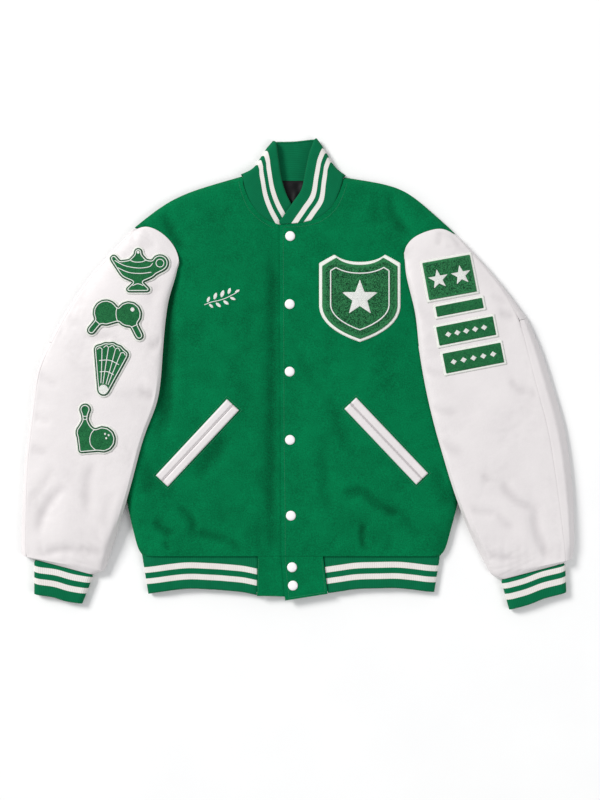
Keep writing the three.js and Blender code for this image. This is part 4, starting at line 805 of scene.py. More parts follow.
def hem_band():
    """The doubled band, from the right tab round the back to the left tab."""
    tops = np.stack([column(HEM_ROWS, "top_x"), column(HEM_ROWS, "up") * HEM_HEIGHT], axis=1)
    run = walked(tops)
    steps = np.arange(len(HEM_ROWS))

    def stations_of(along, share):
        at = np.interp(along, run / run[-1], steps)
        value = {key: through(column(HEM_ROWS, key), at) for key in ("top_x", "low_x", "low_y")}
        up = np.clip(through(column(HEM_ROWS, "up"), at), 0, 1)
        x = mix(value["top_x"], value["low_x"], share)
        y = mix(HEM_TOP_Y, value["low_y"], share)
        tuck = 1 - smooth((share - 0.1) / (HEM_TUCKED - 0.1))
        lift = np.where(up < 0.5, 2.9 * (1 - 2 * up), 0.7 * (1 - 2 * up)) * tuck
        width = np.hypot(value["low_x"] - value["top_x"], value["low_y"] - HEM_TOP_Y)
        edge = 1 - roll((1 - share) * width, 2.6)
        gather = 0.35 * np.sin(along * 150) * smooth((share - 0.2) * 4) * up
        z = up * HEM_HEIGHT + lift + gather - 1.9 * edge * (2 * up - 1)
        return np.stack([x, y, np.maximum(z, 0)], axis=1)

    def rib_on(grid, shares):
        raised = smooth((shares - HEM_TUCKED + 0.03) / 0.05)[None, :]
        return raised * np.where(grid[:, :, 2] > 1.0, 1.0, 0.0)

    return strip("knit_hem_band", stations_of, run[-1], HEM_SHARES, RIB_KNIT, rib_on,
                 knit_finish("green_rib_knit_hem", HEM_STRIPES), flip=1)


# Collar band, a row per place: seam side, free side and their heights. The folds at the shoulders are
# drawn in by their waist, square to the row.
COLLAR_ROWS = [
    {"sx": 4, "sy": 246, "fx": 3, "fy": 254, "sz": 13.7, "fz": 13.6},
    {"sx": -13, "sy": 247, "fx": -3, "fy": 264, "sz": 13.7, "fz": 13.6},
    {"sx": -35, "sy": 248.5, "fx": -10, "fy": 280, "sz": 13.9, "fz": 13.4},
    {"sx": -57, "sy": 260, "fx": -20, "fy": 300, "sz": 17.4, "fz": 14},
    {"sx": -75, "sy": 277, "fx": -27, "fy": 322, "sz": 18, "fz": 14.6},
    {"sx": -85, "sy": 296, "fx": -31, "fy": 345, "sz": 18, "fz": 15},
    {"sx": -91, "sy": 314, "fx": -34, "fy": 367, "sz": 16.6, "fz": 15},
    {"sx": -92, "sy": 330, "fx": -37, "fy": 385, "sz": 14, "fz": 14, "waist": 6.5},
    {"sx": -95, "sy": 333, "fx": -42, "fy": 388.5, "sz": 8, "fz": 8, "waist": 8},
    {"sx": -91, "sy": 330.5, "fx": -38, "fy": 387.5, "sz": 2.2, "fz": 2.2, "waist": 6.5},
    {"sx": -71, "sy": 325, "fx": -33, "fy": 388, "sz": 0, "fz": 0},
    {"sx": -41, "sy": 321, "fx": -23, "fy": 388, "sz": 0, "fz": 0},
    {"sx": -11, "sy": 320, "fx": -7, "fy": 388.5, "sz": 0, "fz": 0},
    {"sx": 19, "sy": 321, "fx": 8, "fy": 390, "sz": 0, "fz": 0},
    {"sx": 50, "sy": 324, "fx": 20, "fy": 391.5, "sz": 0, "fz": 0},
    {"sx": 74, "sy": 329, "fx": 26, "fy": 391.5, "sz": 2.2, "fz": 2.2, "waist": -4.5},
    {"sx": 78, "sy": 331, "fx": 30, "fy": 392.5, "sz": 8, "fz": 8, "waist": -5.5},
    {"sx": 75, "sy": 328, "fx": 26, "fy": 389, "sz": 14, "fz": 14, "waist": -4.5},
    {"sx": 72, "sy": 314, "fx": 18, "fy": 367, "sz": 16.6, "fz": 17},
    {"sx": 67, "sy": 299, "fx": 12, "fy": 341, "sz": 18, "fz": 17.6},
    {"sx": 56, "sy": 278, "fx": 5, "fy": 308, "sz": 18.8, "fz": 18.4},
    {"sx": 35, "sy": 260.5, "fx": -9, "fy": 286, "sz": 18.8, "fz": 18.8},
    {"sx": 10, "sy": 252.5, "fx": -20, "fy": 270, "sz": 18.8, "fz": 18.8},
    {"sx": -13, "sy": 250, "fx": -27, "fy": 260, "sz": 18.8, "fz": 18.8},
    {"sx": -31, "sy": 249, "fx": -32, "fy": 254, "sz": 18.8, "fz": 18.8},
]
COLLAR_SHARES = [0, 0.05, 0.12, 0.2, 0.3, 0.4, 0.5, 0.6, 0.7, 0.8, 0.88, 0.94, 0.98, 1.0]
COLLAR_STRIPES = ((18.5, 26.8), (34, 42.2))
COLLAR_SEAM_GAP = 0.7
COLLAR_TUCK = 1.1
COLLAR_WAIST = ((0, 0.18, 0.34, 0.55, 0.78, 1), (0, 0.75, 1, 0.55, 0.12, 0))
STRIPES_APART = 0.2


def collar():
    """The doubled collar, from the right front round the neck to the left front."""
    middle = np.stack([
        column(COLLAR_ROWS, "sx") + column(COLLAR_ROWS, "fx"),
        column(COLLAR_ROWS, "sy") + column(COLLAR_ROWS, "fy"),
        column(COLLAR_ROWS, "sz") + column(COLLAR_ROWS, "fz"),
    ], axis=1) / 2
    run = walked(middle)
    steps = np.arange(len(COLLAR_ROWS))
    waists = np.array([row.get("waist", 0) for row in COLLAR_ROWS], float)
    deepest = np.abs(waists).max()

    def waist_at(along):
        return through(waists, np.interp(along, run / run[-1], steps))

    def stations_of(along, share):
        at = np.interp(along, run / run[-1], steps)
        ends = {key: through(column(COLLAR_ROWS, key), at) for key in ("sx", "sy", "sz", "fx", "fy", "fz")}
        waist = waist_at(along)
        across = np.stack([ends["fx"] - ends["sx"], ends["fy"] - ends["sy"]], axis=1)
        width = np.linalg.norm(across, axis=1)
        across = across / width[:, None]
        front = smooth((np.maximum(ends["sz"], ends["fz"]) - 4) / 8)
        gap = (COLLAR_SEAM_GAP - COLLAR_TUCK * np.abs(waist) / deepest) * max(0, 1 - share / 0.05)
        drawn_in = waist * np.interp(share, *COLLAR_WAIST)
        x = mix(ends["sx"], ends["fx"], share) + across[:, 0] * gap + across[:, 1] * drawn_in
        y = mix(ends["sy"], ends["fy"], share) + across[:, 1] * gap - across[:, 0] * drawn_in
        edge = 1 - roll((1 - share) * width, 2.4)
        seam = 1 - roll(share * width, 2.5)
        z = mix(ends["sz"], ends["fz"], share) - (1.6 * edge + 0.9 * seam) * (2 * front - 1)
        z = z + 0.25 * np.sin(along * 90) * front * share
        return np.stack([x, y, np.maximum(z, 0)], axis=1)

    def rib_on(grid, shares):
        return np.where(grid[:, :, 2] > 1.0, 1.0, 0.0)

    return strip("knit_collar", stations_of, run[-1], COLLAR_SHARES, RIB_KNIT, rib_on,
                 knit_finish("green_rib_knit_collar", COLLAR_STRIPES), flip=-1,
                 spread=lambda along: 1 + STRIPES_APART * np.abs(waist_at(along)) / deepest)


# Cuffs: corners at the sleeve and at the opening.
CUFF_HEIGHT = 15.0
CUFFS = {
    "right": {
        "top_in": (-339, -329), "top_out": (-437, -303),
        "end_in": (-358, -377), "end_out": (-437, -361),
    },
    "left": {
        "top_in": (335, -337), "top_out": (441, -309),
        "end_in": (349, -387), "end_out": (443, -358),
    },
}
CUFF_SHARES = [-0.1, 0.0, 0.05, 0.09, 0.16, 0.25, 0.35, 0.45, 0.55, 0.65, 0.75, 0.84, 0.91, 0.96, 0.99, 1.0]
CUFF_STRIPES = {"right": ((18, 27.5), (37, 47)), "left": ((17, 27), (36, 45))}
CUFF_INSET = 2.3


def cuff(side):
    """A doubled cuff, a flattened tube."""
    corners = {key: np.array(value, float) for key, value in CUFFS[side].items()}

    def contour(share, count):
        """Points round the cuff at one place down it, from its inner edge over the top."""
        inset = CUFF_INSET * (1 - smooth((share - 0.01) / 0.08))
        inner = mix(corners["top_in"], corners["end_in"], share)
        outer = mix(corners["top_out"], corners["end_out"], share)
        width = np.linalg.norm(outer - inner)
        reach = width - 2 * inset
        turn = np.linspace(0, 2 * math.pi, 721)
        across = (1 - np.cos(turn)) / 2
        upper = turn <= math.pi
        near = np.minimum(across, 1 - across) * reach
        edge = 1 - roll((1 - share) * 55, 2.2)
        half = (CUFF_HEIGHT / 2 - inset) - 1.2 * edge
        height = CUFF_HEIGHT / 2 + np.where(upper, half, -half) * roll(near, half + 2)
        at = mix(inset / width, 1 - inset / width, across)
        plan = inner[None, :] + (outer - inner)[None, :] * at[:, None]
        sway = 1.8 * np.sin(across * math.pi * 2.2) * smooth((share - 0.3) / 0.7)
        plan[:, 1] -= sway * (1 - np.abs(2 * across - 1))
        loop = np.stack([plan[:, 0], plan[:, 1], height], axis=1)
        run = walked(loop)
        where = np.linspace(0, run[-1], count, endpoint=False)
        return np.stack([np.interp(where, run, loop[:, k]) for k in range(3)], axis=1)

    length = walked(contour(0.5, 200))[-1]

    def stations_of(along, share):
        return contour(share, len(along))

    def rib_on(grid, shares):
        raised = smooth((shares - 0.02) / 0.06)[None, :]
        return raised * np.where(grid[:, :, 2] > 2.0, 1.0, 0.0)

    return strip("knit_cuff_" + side, stations_of, length, CUFF_SHARES, CUFF_KNIT, rib_on,
                 knit_finish("green_rib_knit_cuff_" + side, CUFF_STRIPES[side]), True,
                 1 if side == "right" else -1)


KNITS = {"hem_band": hem_band(), "collar": collar(), "cuff_right": cuff("right"), "cuff_left": cuff("left")}


# Pieces sewn onto a panel, cut to their solid's outline

def outline_of(node):
    """The outline of a flat-lying node's upper face, in plan millimetres."""
    shape = bmesh.new()
    shape.from_mesh(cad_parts[node].data)
    bmesh.ops.remove_doubles(shape, verts=shape.verts, dist=1e-6)
    shape.normal_update()
    following = {}
    for edge in shape.edges:
        tops = [face for face in edge.link_faces if face.normal.z > 0.4]
        if len(tops) == 1 and len(edge.link_faces) == 2:
            loop = next(loop for loop in edge.link_loops if loop.face == tops[0])
            following[loop.vert.index] = (loop.link_loop_next.vert.index, loop.vert.co.copy())
    start = min(following)
    at, points = start, []
    while True:
        at, place = following[at]
        points.append((place.x / MM - SHIFT_X, place.y / MM - SHIFT_Y))
        if at == start:
            break
    shape.free()
    return np.array(points)


def rounded_outline(points, step, passes):
    line = evenly(points, step, True)
    for _ in range(passes):
        line = (np.roll(line, 1, axis=0) + 2 * line + np.roll(line, -1, axis=0)) / 4
    return line


def inside(points, x, y):
    """Which plan points lie inside an outline."""
    within = np.zeros(x.shape, bool)
    for (ax, ay), (bx, by) in zip(points, np.roll(points, -1, axis=0)):
        crosses = (ay > y) != (by > y)
        at = (bx - ax) * (y - ay) / (by - ay + 1e-12) + ax
        within ^= crosses & (x < at)
    return within


def edge_gap(points, x, y):
    """Distance of plan points from an outline."""
    best = np.full(x.shape, 1e9)
    for (ax, ay), (bx, by) in zip(points, np.roll(points, -1, axis=0)):
        dx, dy = bx - ax, by - ay
        t = np.clip(((x - ax) * dx + (y - ay) * dy) / (dx * dx + dy * dy + 1e-12), 0, 1)
        best = np.minimum(best, np.hypot(x - ax - t * dx, y - ay - t * dy))
    return best


def pad(node, panel, lift, thick, finish, step=2.0, edge=0.8, pile=0.0, border=0.0, passes=1):
    """A cut piece laid on a panel: a fine top face, rounded rim, and a plain underside."""
    line = rounded_outline(outline_of(node), step, passes)
    low, high = line.min(axis=0), line.max(axis=0)
    xs, ys = np.meshgrid(np.arange(low[0], high[0], step), np.arange(low[1], high[1], step * 0.87))
    xs = xs + (np.arange(len(ys)) % 2)[:, None] * step / 2
    xs, ys = xs.ravel(), ys.ravel()
    keep = inside(line, xs, ys)
    xs, ys = xs[keep], ys[keep]
    keep = edge_gap(line, xs, ys) > step * 0.6
    ring = rounded_outline(line, step, 0)
    rim = len(line)
    plan = np.vstack([line, np.stack([xs[keep], ys[keep]], axis=1)])
    edges = [(k, (k + 1) % rim) for k in range(rim)]
    out = delaunay_2d_cdt([Vector(p) for p in plan], edges, [], 1, 1e-5)
    plan = np.array([[v.x, v.y] for v in out[0]])
    triangles = out[2]
    away = edge_gap(ring, plan[:, 0], plan[:, 1])
    heights = [panel.top(x, y) for x, y in plan]
    bare = np.array([height is None for height in heights])
    seat = np.array([0.0 if height is None else height for height in heights])
    for index in np.where(bare)[0]:
        gaps = np.hypot(*(plan[~bare] - plan[index]).T)
        seat[index] = seat[~bare][gaps.argmin()]
    loose = pile * (ripples(plan[:, 0], plan[:, 1], 4.2, 41) + ripples(plan[:, 0], plan[:, 1], 2.6, 42))
    sink = border and pile * 0.8 * (1 - smooth((away - border) / 1.2))
    top = seat + lift + thick * mix(0.45, 1, roll(away, edge)) + loose * smooth(away / 2) - sink
    count = len(plan)
    points = np.vstack([
        np.column_stack([plan, top]),
        np.column_stack([plan, seat + lift]),
    ])
    faces = [tuple(t) for t in triangles] + [tuple(count + k for k in reversed(t)) for t in triangles]
    around = {}
    for t in triangles:
        for a, b in zip(t, list(t[1:]) + [t[0]]):
            around[(a, b)] = True
    for a, b in list(around):
        if (b, a) not in around:
            faces.append((b, a, count + a, count + b))
    flat = np.concatenate([1 - smooth((away - border) / 1.5) if border else np.zeros(count)] * 2)
    along = np.concatenate([plan[:, 0] * 0.7 + plan[:, 1] * 0.7] * 2)
    carried = {"flat": flat, "along": along, "dent": flat * 0}
    made = to_object("sewn_" + node, points, faces, finish, carried)
    outward(made.data)
    return made, line


def area_of(line):
    x, y = line[:, 0], line[:, 1]
    return abs(np.dot(x, np.roll(y, -1)) - np.dot(y, np.roll(x, -1))) / 2


def cut_size(line):
    """Width and length in metres of the smallest box that an outline can be cut from."""
    smallest = None
    for turn in np.radians(np.arange(0, 90, 0.5)):
        c, s = math.cos(turn), math.sin(turn)
        size = np.ptp(line @ np.array([[c, -s], [s, c]]), axis=0)
        if smallest is None or size[0] * size[1] < smallest[0] * smallest[1]:
            smallest = size
    return tuple(sorted(float(value) * MM for value in smallest))


SEWN = []
FIRST_LAYER = 0.15
SECOND_LAYER = 1.5
LIP_THICK = 2.6
FACE_THICK = 1.6
BAR_FACE_THICK = 1.3


def sew(node, panel, lift, thick, finish, slot, **form):
    made, line = pad(node, PANELS[panel], lift, thick, finish, **form)
    SEWN.append((node, made, slot, line, "cloth_" + panel))
    return made, line


for side in ("right", "left"):
    for lip in ("upper", "lower"):
        sew(f"pocket_lip_{lip}_{side}", "front_" + side, FIRST_LAYER, LIP_THICK,
            LEATHER_FINISH, "leather_white", step=1.8, edge=2.2, passes=0)
sew("chest_patch_felt", "front_left", FIRST_LAYER, FELT, FELT_FINISH, "felt_white",
    step=2.4, edge=0.7, passes=0)
CHEST_LINE = sew("chest_patch_chenille", "front_left", SECOND_LAYER, CHENILLE,
                 PILE_FINISH, "chenille_green", step=1.3, edge=1.4, pile=0.32, border=4.5)[1]
for motif in ("lamp", "paddles", "shuttlecock", "pin"):
    sew(f"patch_{motif}_felt", "top_sleeve_right", FIRST_LAYER, FELT, FELT_FINISH, "felt_white",
        step=1.8, edge=0.7, passes=3)
    sew(f"patch_{motif}_chenille", "top_sleeve_right", SECOND_LAYER, FACE_THICK,
        TWILL_FINISH, "chenille_green", step=1.4, edge=1.0, pile=0.12, border=1.2, passes=3)
sew("plate_felt", "top_sleeve_left", FIRST_LAYER, FELT, FELT_FINISH, "felt_white", step=2.2, edge=0.7)
sew("plate_chenille", "top_sleeve_left", SECOND_LAYER, CHENILLE, PILE_FINISH, "chenille_green",
    step=1.3, edge=1.3, pile=0.3, border=3.0)
for number in (1, 2, 3):
    sew(f"bar_{number}_felt", "top_sleeve_left", FIRST_LAYER, FELT,
        FELT_FINISH, "felt_white", step=2.2, edge=0.7)
    sew(f"bar_{number}_face", "top_sleeve_left", SECOND_LAYER, BAR_FACE_THICK,
        TWILL_FINISH, "chenille_green", step=1.3, edge=0.9, pile=0.1)


# Threads: rows of stitches and cords laid on the cloth

CORD_SIDES = 6
STITCH_SIDES = 4
SATIN_SIDES = 5


def tube_points(line, radii, sides):
    """Rings of points along a line of plan points with heights."""
    line = np.asarray(line, float)
    ahead = np.gradient(line, axis=0)
    ahead = ahead / np.maximum(np.linalg.norm(ahead, axis=1, keepdims=True), 1e-9)
    right = np.cross(ahead, np.array([0, 0, 1.0]))
    right = right / np.maximum(np.linalg.norm(right, axis=1, keepdims=True), 1e-9)
    up = np.cross(right, ahead)
    turn = np.arange(sides) / sides * 2 * math.pi
    ring = right[:, None] * np.cos(turn)[None, :, None] + up[:, None] * np.sin(turn)[None, :, None]
    return line[:, None] + ring * radii[:, None, None]


class Threads:
    """Many small round-ended tubes gathered into one mesh."""

    def __init__(self):
        self.points, self.faces, self.along, self.dent, self.count = [], [], [], [], 0

    def add(self, line, radius, sides=CORD_SIDES, ends=3, dent=0.0):
        """One tube along a line, its ends rounded, and how much painted shade its finish gives it."""
        line = np.asarray(line, float)
        run = walked(line)
        tip = min(radius, run[-1] * 0.3)
        shares = 1 - np.cos(np.linspace(0, math.pi / 2, ends + 1))
        head, tail = tip * shares, run[-1] - tip * shares[::-1]
        middle = run[(run > tip * 1.2) & (run < run[-1] - tip * 1.2)]
        at = np.unique(np.concatenate([head, middle, tail]))
        placed = np.stack([np.interp(at, run, line[:, k]) for k in range(3)], axis=1)
        near = np.minimum(at, run[-1] - at)
        radii = radius * np.maximum(roll(near, tip), 0.08)
        rings = tube_points(placed, radii, sides)
        count = len(placed)
        base = self.count
        self.points.append(rings.reshape(-1, 3))
        self.along.append(np.repeat(at, sides))
        self.dent.append(np.full(count * sides, dent))
        for i in range(count - 1):
            for k in range(sides):
                a, b = base + i * sides + k, base + i * sides + (k + 1) % sides
                self.faces.append((a, b, b + sides, a + sides))
        self.faces.append(tuple(base + k for k in reversed(range(sides))))
        self.faces.append(tuple(base + (count - 1) * sides + k for k in range(sides)))
        self.count += count * sides

    def finish(self, name, finish):
        values = {"along": np.concatenate(self.along), "dent": np.concatenate(self.dent)}
        made = to_object(name, np.vstack(self.points), self.faces, finish, values)
        outward(made.data)
        return made


def seated(line, panels, lift=0.0):
    """Plan points with the height of the cloth under them; those over no cloth are left out."""
    placed = []
    for x, y in line:
        heights = [h for h in (panel.top(x, y) for panel in panels) if h is not None]
        if heights:
            placed.append((x, y, max(heights) + lift))
    return np.array(placed)


STITCH_PITCH = 3.0
STITCH_LENGTH = 2.3


def stitch_row(threads, line, panels, radius=0.42, pitch=STITCH_PITCH, length=STITCH_LENGTH):
    """A row of sewn stitches along plan points."""
    line = evenly(line, 0.5)
    run = walked(line)
    for start in np.arange(0.4, run[-1] - length, pitch):
        at = start + np.linspace(0, length, 5)
        plan = np.stack([np.interp(at, run, line[:, k]) for k in range(2)], axis=1)
        placed = seated(plan, panels)
        if len(placed) == 5:
            sag = np.array([-0.32, 0.02, 0.12, 0.02, -0.32])
            placed[:, 2] += sag + radius * 0.45
            threads.add(placed, radius, STITCH_SIDES)


def curve_line(points, step=1.0, parts=12):
    """A smooth line through a few points, in plan or with heights."""
    points = np.asarray(points, float)
    at = np.linspace(0, len(points) - 1, (len(points) - 1) * parts + 1)
    return evenly(np.stack([through(points[:, k], at) for k in range(points.shape[1])], axis=1), step)


fronts = [PANELS["front_left"], PANELS["front_right"]]
tabs = [PANELS["hem_tab_left"], PANELS["hem_tab_right"]]

wool_threads = Threads()
PLACKET_EDGE = [(-30.4, 244), (-29.4, 60), (-29, -108), (-27.4, -200), (-26.9, -296)]
TAB_EDGE = [(-26.6, -299.5), (-24.5, -330), (-20.5, -368)]
STITCH_INSET = 5.2
inset = np.array([STITCH_INSET, 0])
stitch_row(wool_threads, np.array(PLACKET_EDGE) + inset, fronts)
stitch_row(wool_threads, np.array(TAB_EDGE) + inset, tabs)
TAB_STITCHES = [
    [(-15, -366.5), (46, -357)],
    [(-65.5, -302), (-66.5, -359.5)],
    [(38.5, -302), (44, -356)],
]
for line in TAB_STITCHES:
    stitch_row(wool_threads, line, tabs)
NECK_SEWN = {
    "right": [(-40, 243), (-62, 255), (-81, 273), (-91, 293), (-97, 312), (-98.5, 322)],
    "left": [(-24, 244.3), (10, 246.5), (38, 254.5), (61, 273.5), (73, 296), (78.5, 312), (81, 319)],
}
for line in NECK_SEWN.values():
    stitch_row(wool_threads, curve_line(line), fronts)
POCKETS = {"right": (-166.5, -111, 47.0), "left": (144.5, -108, -46.5)}
POCKET_LENGTH = 172
POCKET_WIDTH = 27
SEWN_ROUND = 3.2


def pocket_line(side):
    """A pocket's middle, and the directions along its slit and square to it."""
    x, y, turn = POCKETS[side]
    ahead = np.array([math.cos(math.radians(turn)), math.sin(math.radians(turn))])
    return np.array([x, y]), ahead, np.array([-ahead[1], ahead[0]])


for side in POCKETS:
    middle, ahead, aside = pocket_line(side)
    half, deep = POCKET_LENGTH / 2 + SEWN_ROUND, POCKET_WIDTH / 2 + SEWN_ROUND
    round_it = ((-1, -1), (1, -1), (1, 1), (-1, 1), (-1, -1))
    corners = [middle + ahead * half * a + aside * deep * b for a, b in round_it]
    stitch_row(wool_threads, corners, [PANELS["front_" + side]])
wool_threads_made = wool_threads.finish("stitches_wool", GREEN_THREAD)

felt_threads = Threads()


class Flat:
    """A plain seat at a height that another piece's object gives."""

    def __init__(self, made):
        mesh = made.data
        self.sight = BVHTree.FromPolygons(
            [v.co for v in mesh.vertices], [tuple(p.vertices) for p in mesh.polygons],
        )

    top = Panel.top


SEATS = {node: Flat(made) for node, made, slot, line, on in SEWN}


def shrunk(line, by):
    """An outline moved inwards."""
    tangent = np.roll(line, -1, axis=0) - np.roll(line, 1, axis=0)
    tangent = tangent / np.maximum(np.linalg.norm(tangent, axis=1, keepdims=True), 1e-9)
    normal = np.stack([-tangent[:, 1], tangent[:, 0]], axis=1)
    turn = np.dot(line[:, 0], np.roll(line[:, 1], -1)) - np.dot(line[:, 1], np.roll(line[:, 0], -1))
    return line + normal * by * (1 if turn > 0 else -1)


def cord(threads, line, seat, radius, closed=True):
    """A thin round cord laid along a line on what carries it."""
    line = evenly(line, 1.1, closed)
    if closed:
        line = np.vstack([line, line[:1]])
    placed = seated(line, seat, radius * 0.35)
    if len(placed) > 3:
        threads.add(placed, radius)


LINES = {node: line for node, made, slot, line, on in SEWN}
for node in [n for n in LINES if n.endswith("_felt")]:
    stitch_row(felt_threads, shrunk(LINES[node], 1.4), [SEATS[node]], 0.3, 2.4, 1.8)
felt_threads_made = felt_threads.finish("stitches_felt", WHITE_THREAD)

dark_cords = Threads()
pale_cords = Threads()
for motif in ("lamp", "paddles", "shuttlecock", "pin"):
    node = f"patch_{motif}_chenille"
    under = f"patch_{motif}_felt"
    cord(dark_cords, shrunk(LINES[node], -0.5), [SEATS[node], SEATS[under]], 0.75)
    cord(pale_cords, shrunk(LINES[node], 2.0), [SEATS[node]], 0.8)

# Light lines inside the sleeve motifs, around each patch's own middle.
PATCH_PLACES = {
    "lamp": (-263, 176, 0), "paddles": (-298, 95, 0), "shuttlecock": (-313, 9, -12), "pin": (-337, -88, 0),
}
MOTIF_LINES = {
    "lamp": [
        [(-13, 13), (-6, 10), (6, 10), (13, 13)],
        [(-39, 13), (-22, 4), (0, 0), (18, 2), (24, 8)],
        [(-34, 1), (-16, -7), (4, -9), (22, -7)],
        [(-9, -29), (0, -26), (9, -29)],
    ],
    "paddles": [
        [(1, 17), (-1, 8), (0, -2), (3, -8)],
        [(-36, -4), (-27, -12)],
        [(23.5, -16.5), (34.5, -11.5)],
    ],
    "shuttlecock": [
        [(-6, -24), (-10, 0), (-16, 32)],
        [(-2.5, -24), (-4, 0), (-6, 37)],
        [(2.5, -24), (4, 0), (6, 37)],
        [(6, -24), (10, 0), (16, 32)],
        [(-17, 12), (0, 16), (17, 12)],
        [(-12, -6), (0, -3), (12, -6)],
        [(-24, 29), (-20, 33), (-15, 31)],
        [(-14, 34), (-10, 38.5), (-5.5, 36)],
        [(-4.5, 37), (0, 41), (4.5, 37)],
        [(5.5, 36), (10, 38.5), (14, 34)],
        [(15, 31), (20, 33), (24, 29)],
    ],
    "pin": [
        [(-17.5, 22), (-13, 20.5), (-8.5, 22)],
        [(-17, 17), (-13, 15.5), (-9, 17)],
        [(3.5, 0), (-2.5, -7), (-5, -17), (-3, -27), (5, -35)],
    ],
}
# Light rings and filled light dots: x, y and radius.
MOTIF_RINGS = {"lamp": [(36, 8, 6.5)]}
MOTIF_DOTS = {
    "paddles": [(26, 13, 3.4)],
    "pin": [(20, -8, 1.7), (26, -10, 1.7), (22, -15, 1.7)],
    "lamp": [(0, 26, 2.4)],
    "shuttlecock": [(0, -33, 8)],
}


def placed_on(place, points):
    """Points given round a place's middle, turned by its angle in degrees."""
    x, y, turn = place
    c, s = math.cos(math.radians(turn)), math.sin(math.radians(turn))
    return np.array([(x + a * c - b * s, y + a * s + b * c) for a, b in points])


def round_line(x, y, radius):
    turns = np.linspace(0, 2 * math.pi, 20, endpoint=False)
    return [(x + radius * math.cos(turn), y + radius * math.sin(turn)) for turn in turns]


for motif, lines in MOTIF_LINES.items():
    seat = [SEATS[f"patch_{motif}_chenille"]]
    for line in lines:
        cord(pale_cords, curve_line(placed_on(PATCH_PLACES[motif], line)), seat, 0.75, closed=False)
    for x, y, radius in MOTIF_RINGS.get(motif, []):
        cord(pale_cords, placed_on(PATCH_PLACES[motif], round_line(x, y, radius)), seat, 0.75)


def star(radius, inner=0.42):
    """The ten corners of a five-pointed star, from its top one."""
    corners = []
    for k in range(10):
        reach = radius * (1 if k % 2 == 0 else inner)
        corners.append((reach * math.sin(k * math.pi / 5), reach * math.cos(k * math.pi / 5)))
    return corners


def satin_fill(threads, outline, seat, spacing, radius, turn):
    """Laid thread that fills an outline in close parallel rows."""
    outline = np.asarray(outline)
    c, s = math.cos(turn), math.sin(turn)
    across = outline @ np.array([[c, -s], [s, c]])
    for level in np.arange(across[:, 1].min() + spacing / 2, across[:, 1].max(), spacing):
        hits = []
        for (ax, ay), (bx, by) in zip(across, np.roll(across, -1, axis=0)):
            if (ay > level) != (by > level):
                hits.append(ax + (level - ay) / (by - ay) * (bx - ax))
        hits.sort()
        for a, b in zip(hits[::2], hits[1::2]):
            if b - a > 0.6:
                row = np.stack([np.linspace(a, b, 5), np.full(5, level)], axis=1)
                plan = row @ np.array([[c, s], [-s, c]])
                placed = seated(plan, seat, radius * 0.3)
                if len(placed) == 5:
                    placed[1:-1, 2] += 0.25
                    threads.add(placed, radius, SATIN_SIDES, ends=2)


# Light dots on the sleeve motifs, laid in satin thread.
satin_threads = Threads()
for motif, dots in MOTIF_DOTS.items():
    seat = [SEATS[f"patch_{motif}_chenille"]]
    for x, y, radius in dots:
        dot = placed_on(PATCH_PLACES[motif], round_line(x, y, radius))
        satin_fill(satin_threads, dot, seat, 0.7, 0.45, 0.3)

# Chest shield: a light inner line and a star. Plate: two stars. Bars: rows of lozenges.
SHIELD_PLACE = (101, 127, 0)
SHIELD_STAR = 31
PLATE_STAR = 17
INNER_LINE = 14
INNER_KEPT = 13.2
chest_seat = [SEATS["chest_patch_chenille"]]
inner_line = shrunk(CHEST_LINE, INNER_LINE)
inner_line = inner_line[edge_gap(CHEST_LINE, inner_line[:, 0], inner_line[:, 1]) > INNER_KEPT]
cord(pale_cords, inner_line, chest_seat, 1.1)
satin_fill(satin_threads, placed_on(SHIELD_PLACE, star(SHIELD_STAR)), chest_seat, 0.8, 0.5, 0.0)
PLATE_PLACE = (248, 161, 10.5)
TRIM_TURN = math.radians(10.5)
for offset in (-19, 19):
    outline = placed_on(PLATE_PLACE, [(a + offset, b) for a, b in star(PLATE_STAR)])
    satin_fill(satin_threads, outline, [SEATS["plate_chenille"]], 0.8, 0.5, TRIM_TURN)
LOZENGE_HALF = 5.4
LOZENGE_TALL = 4.6
BAR_PLACES = {"bar_2": (275.1, 72.9, 11), "bar_3": (286.9, 28.5, 11)}
LOZENGES = {"bar_2": (-30, -15, 0, 15, 30), "bar_3": (-33, -16.5, 0, 16.5, 33)}
for name, place in BAR_PLACES.items():
    for offset in LOZENGES[name]:
        shape = [
            (offset - LOZENGE_HALF, 0), (offset, LOZENGE_TALL),
            (offset + LOZENGE_HALF, 0), (offset, -LOZENGE_TALL),
        ]
        seat = [SEATS[name + "_face"]]
        satin_fill(satin_threads, placed_on(place, shape), seat, 0.7, 0.42, TRIM_TURN)

# Leaf sprig embroidered on the right front.
SPRIG_PLACE = (-128, 124, 8)
SPRIG_STEM = [(-28, -4), (-16, -1), (-4, 0), (8, 2), (20, 6), (28, 9)]
SPRIG_LEAVES = [
    (-20, 4, 62, 10), (-17, -7, -48, 9), (-8, 8, 66, 12), (-5, -7, -46, 11),
    (4, 10, 64, 13), (8, -5, -40, 11), (16, 13, 66, 11), (20, 0, -28, 10), (29, 11, 24, 9),
]
LEAF_WIDTH = 0.23
front = [PANELS["front_right"]]
cord(satin_threads, curve_line(placed_on(SPRIG_PLACE, SPRIG_STEM)), front, 0.7, closed=False)
for x, y, turn, length in SPRIG_LEAVES:
    leaf = []
    for t in np.linspace(-1, 1, 12):
        leaf.append((t * length / 2, LEAF_WIDTH * length * (1 - t * t) ** 0.8))
    for t in np.linspace(1, -1, 12)[1:-1]:
        leaf.append((t * length / 2, -LEAF_WIDTH * length * (1 - t * t) ** 0.8))
    turned = placed_on((x, y, turn), leaf)
    satin_fill(satin_threads, placed_on(SPRIG_PLACE, turned), front, 0.62, 0.42, math.radians(turn + 40))

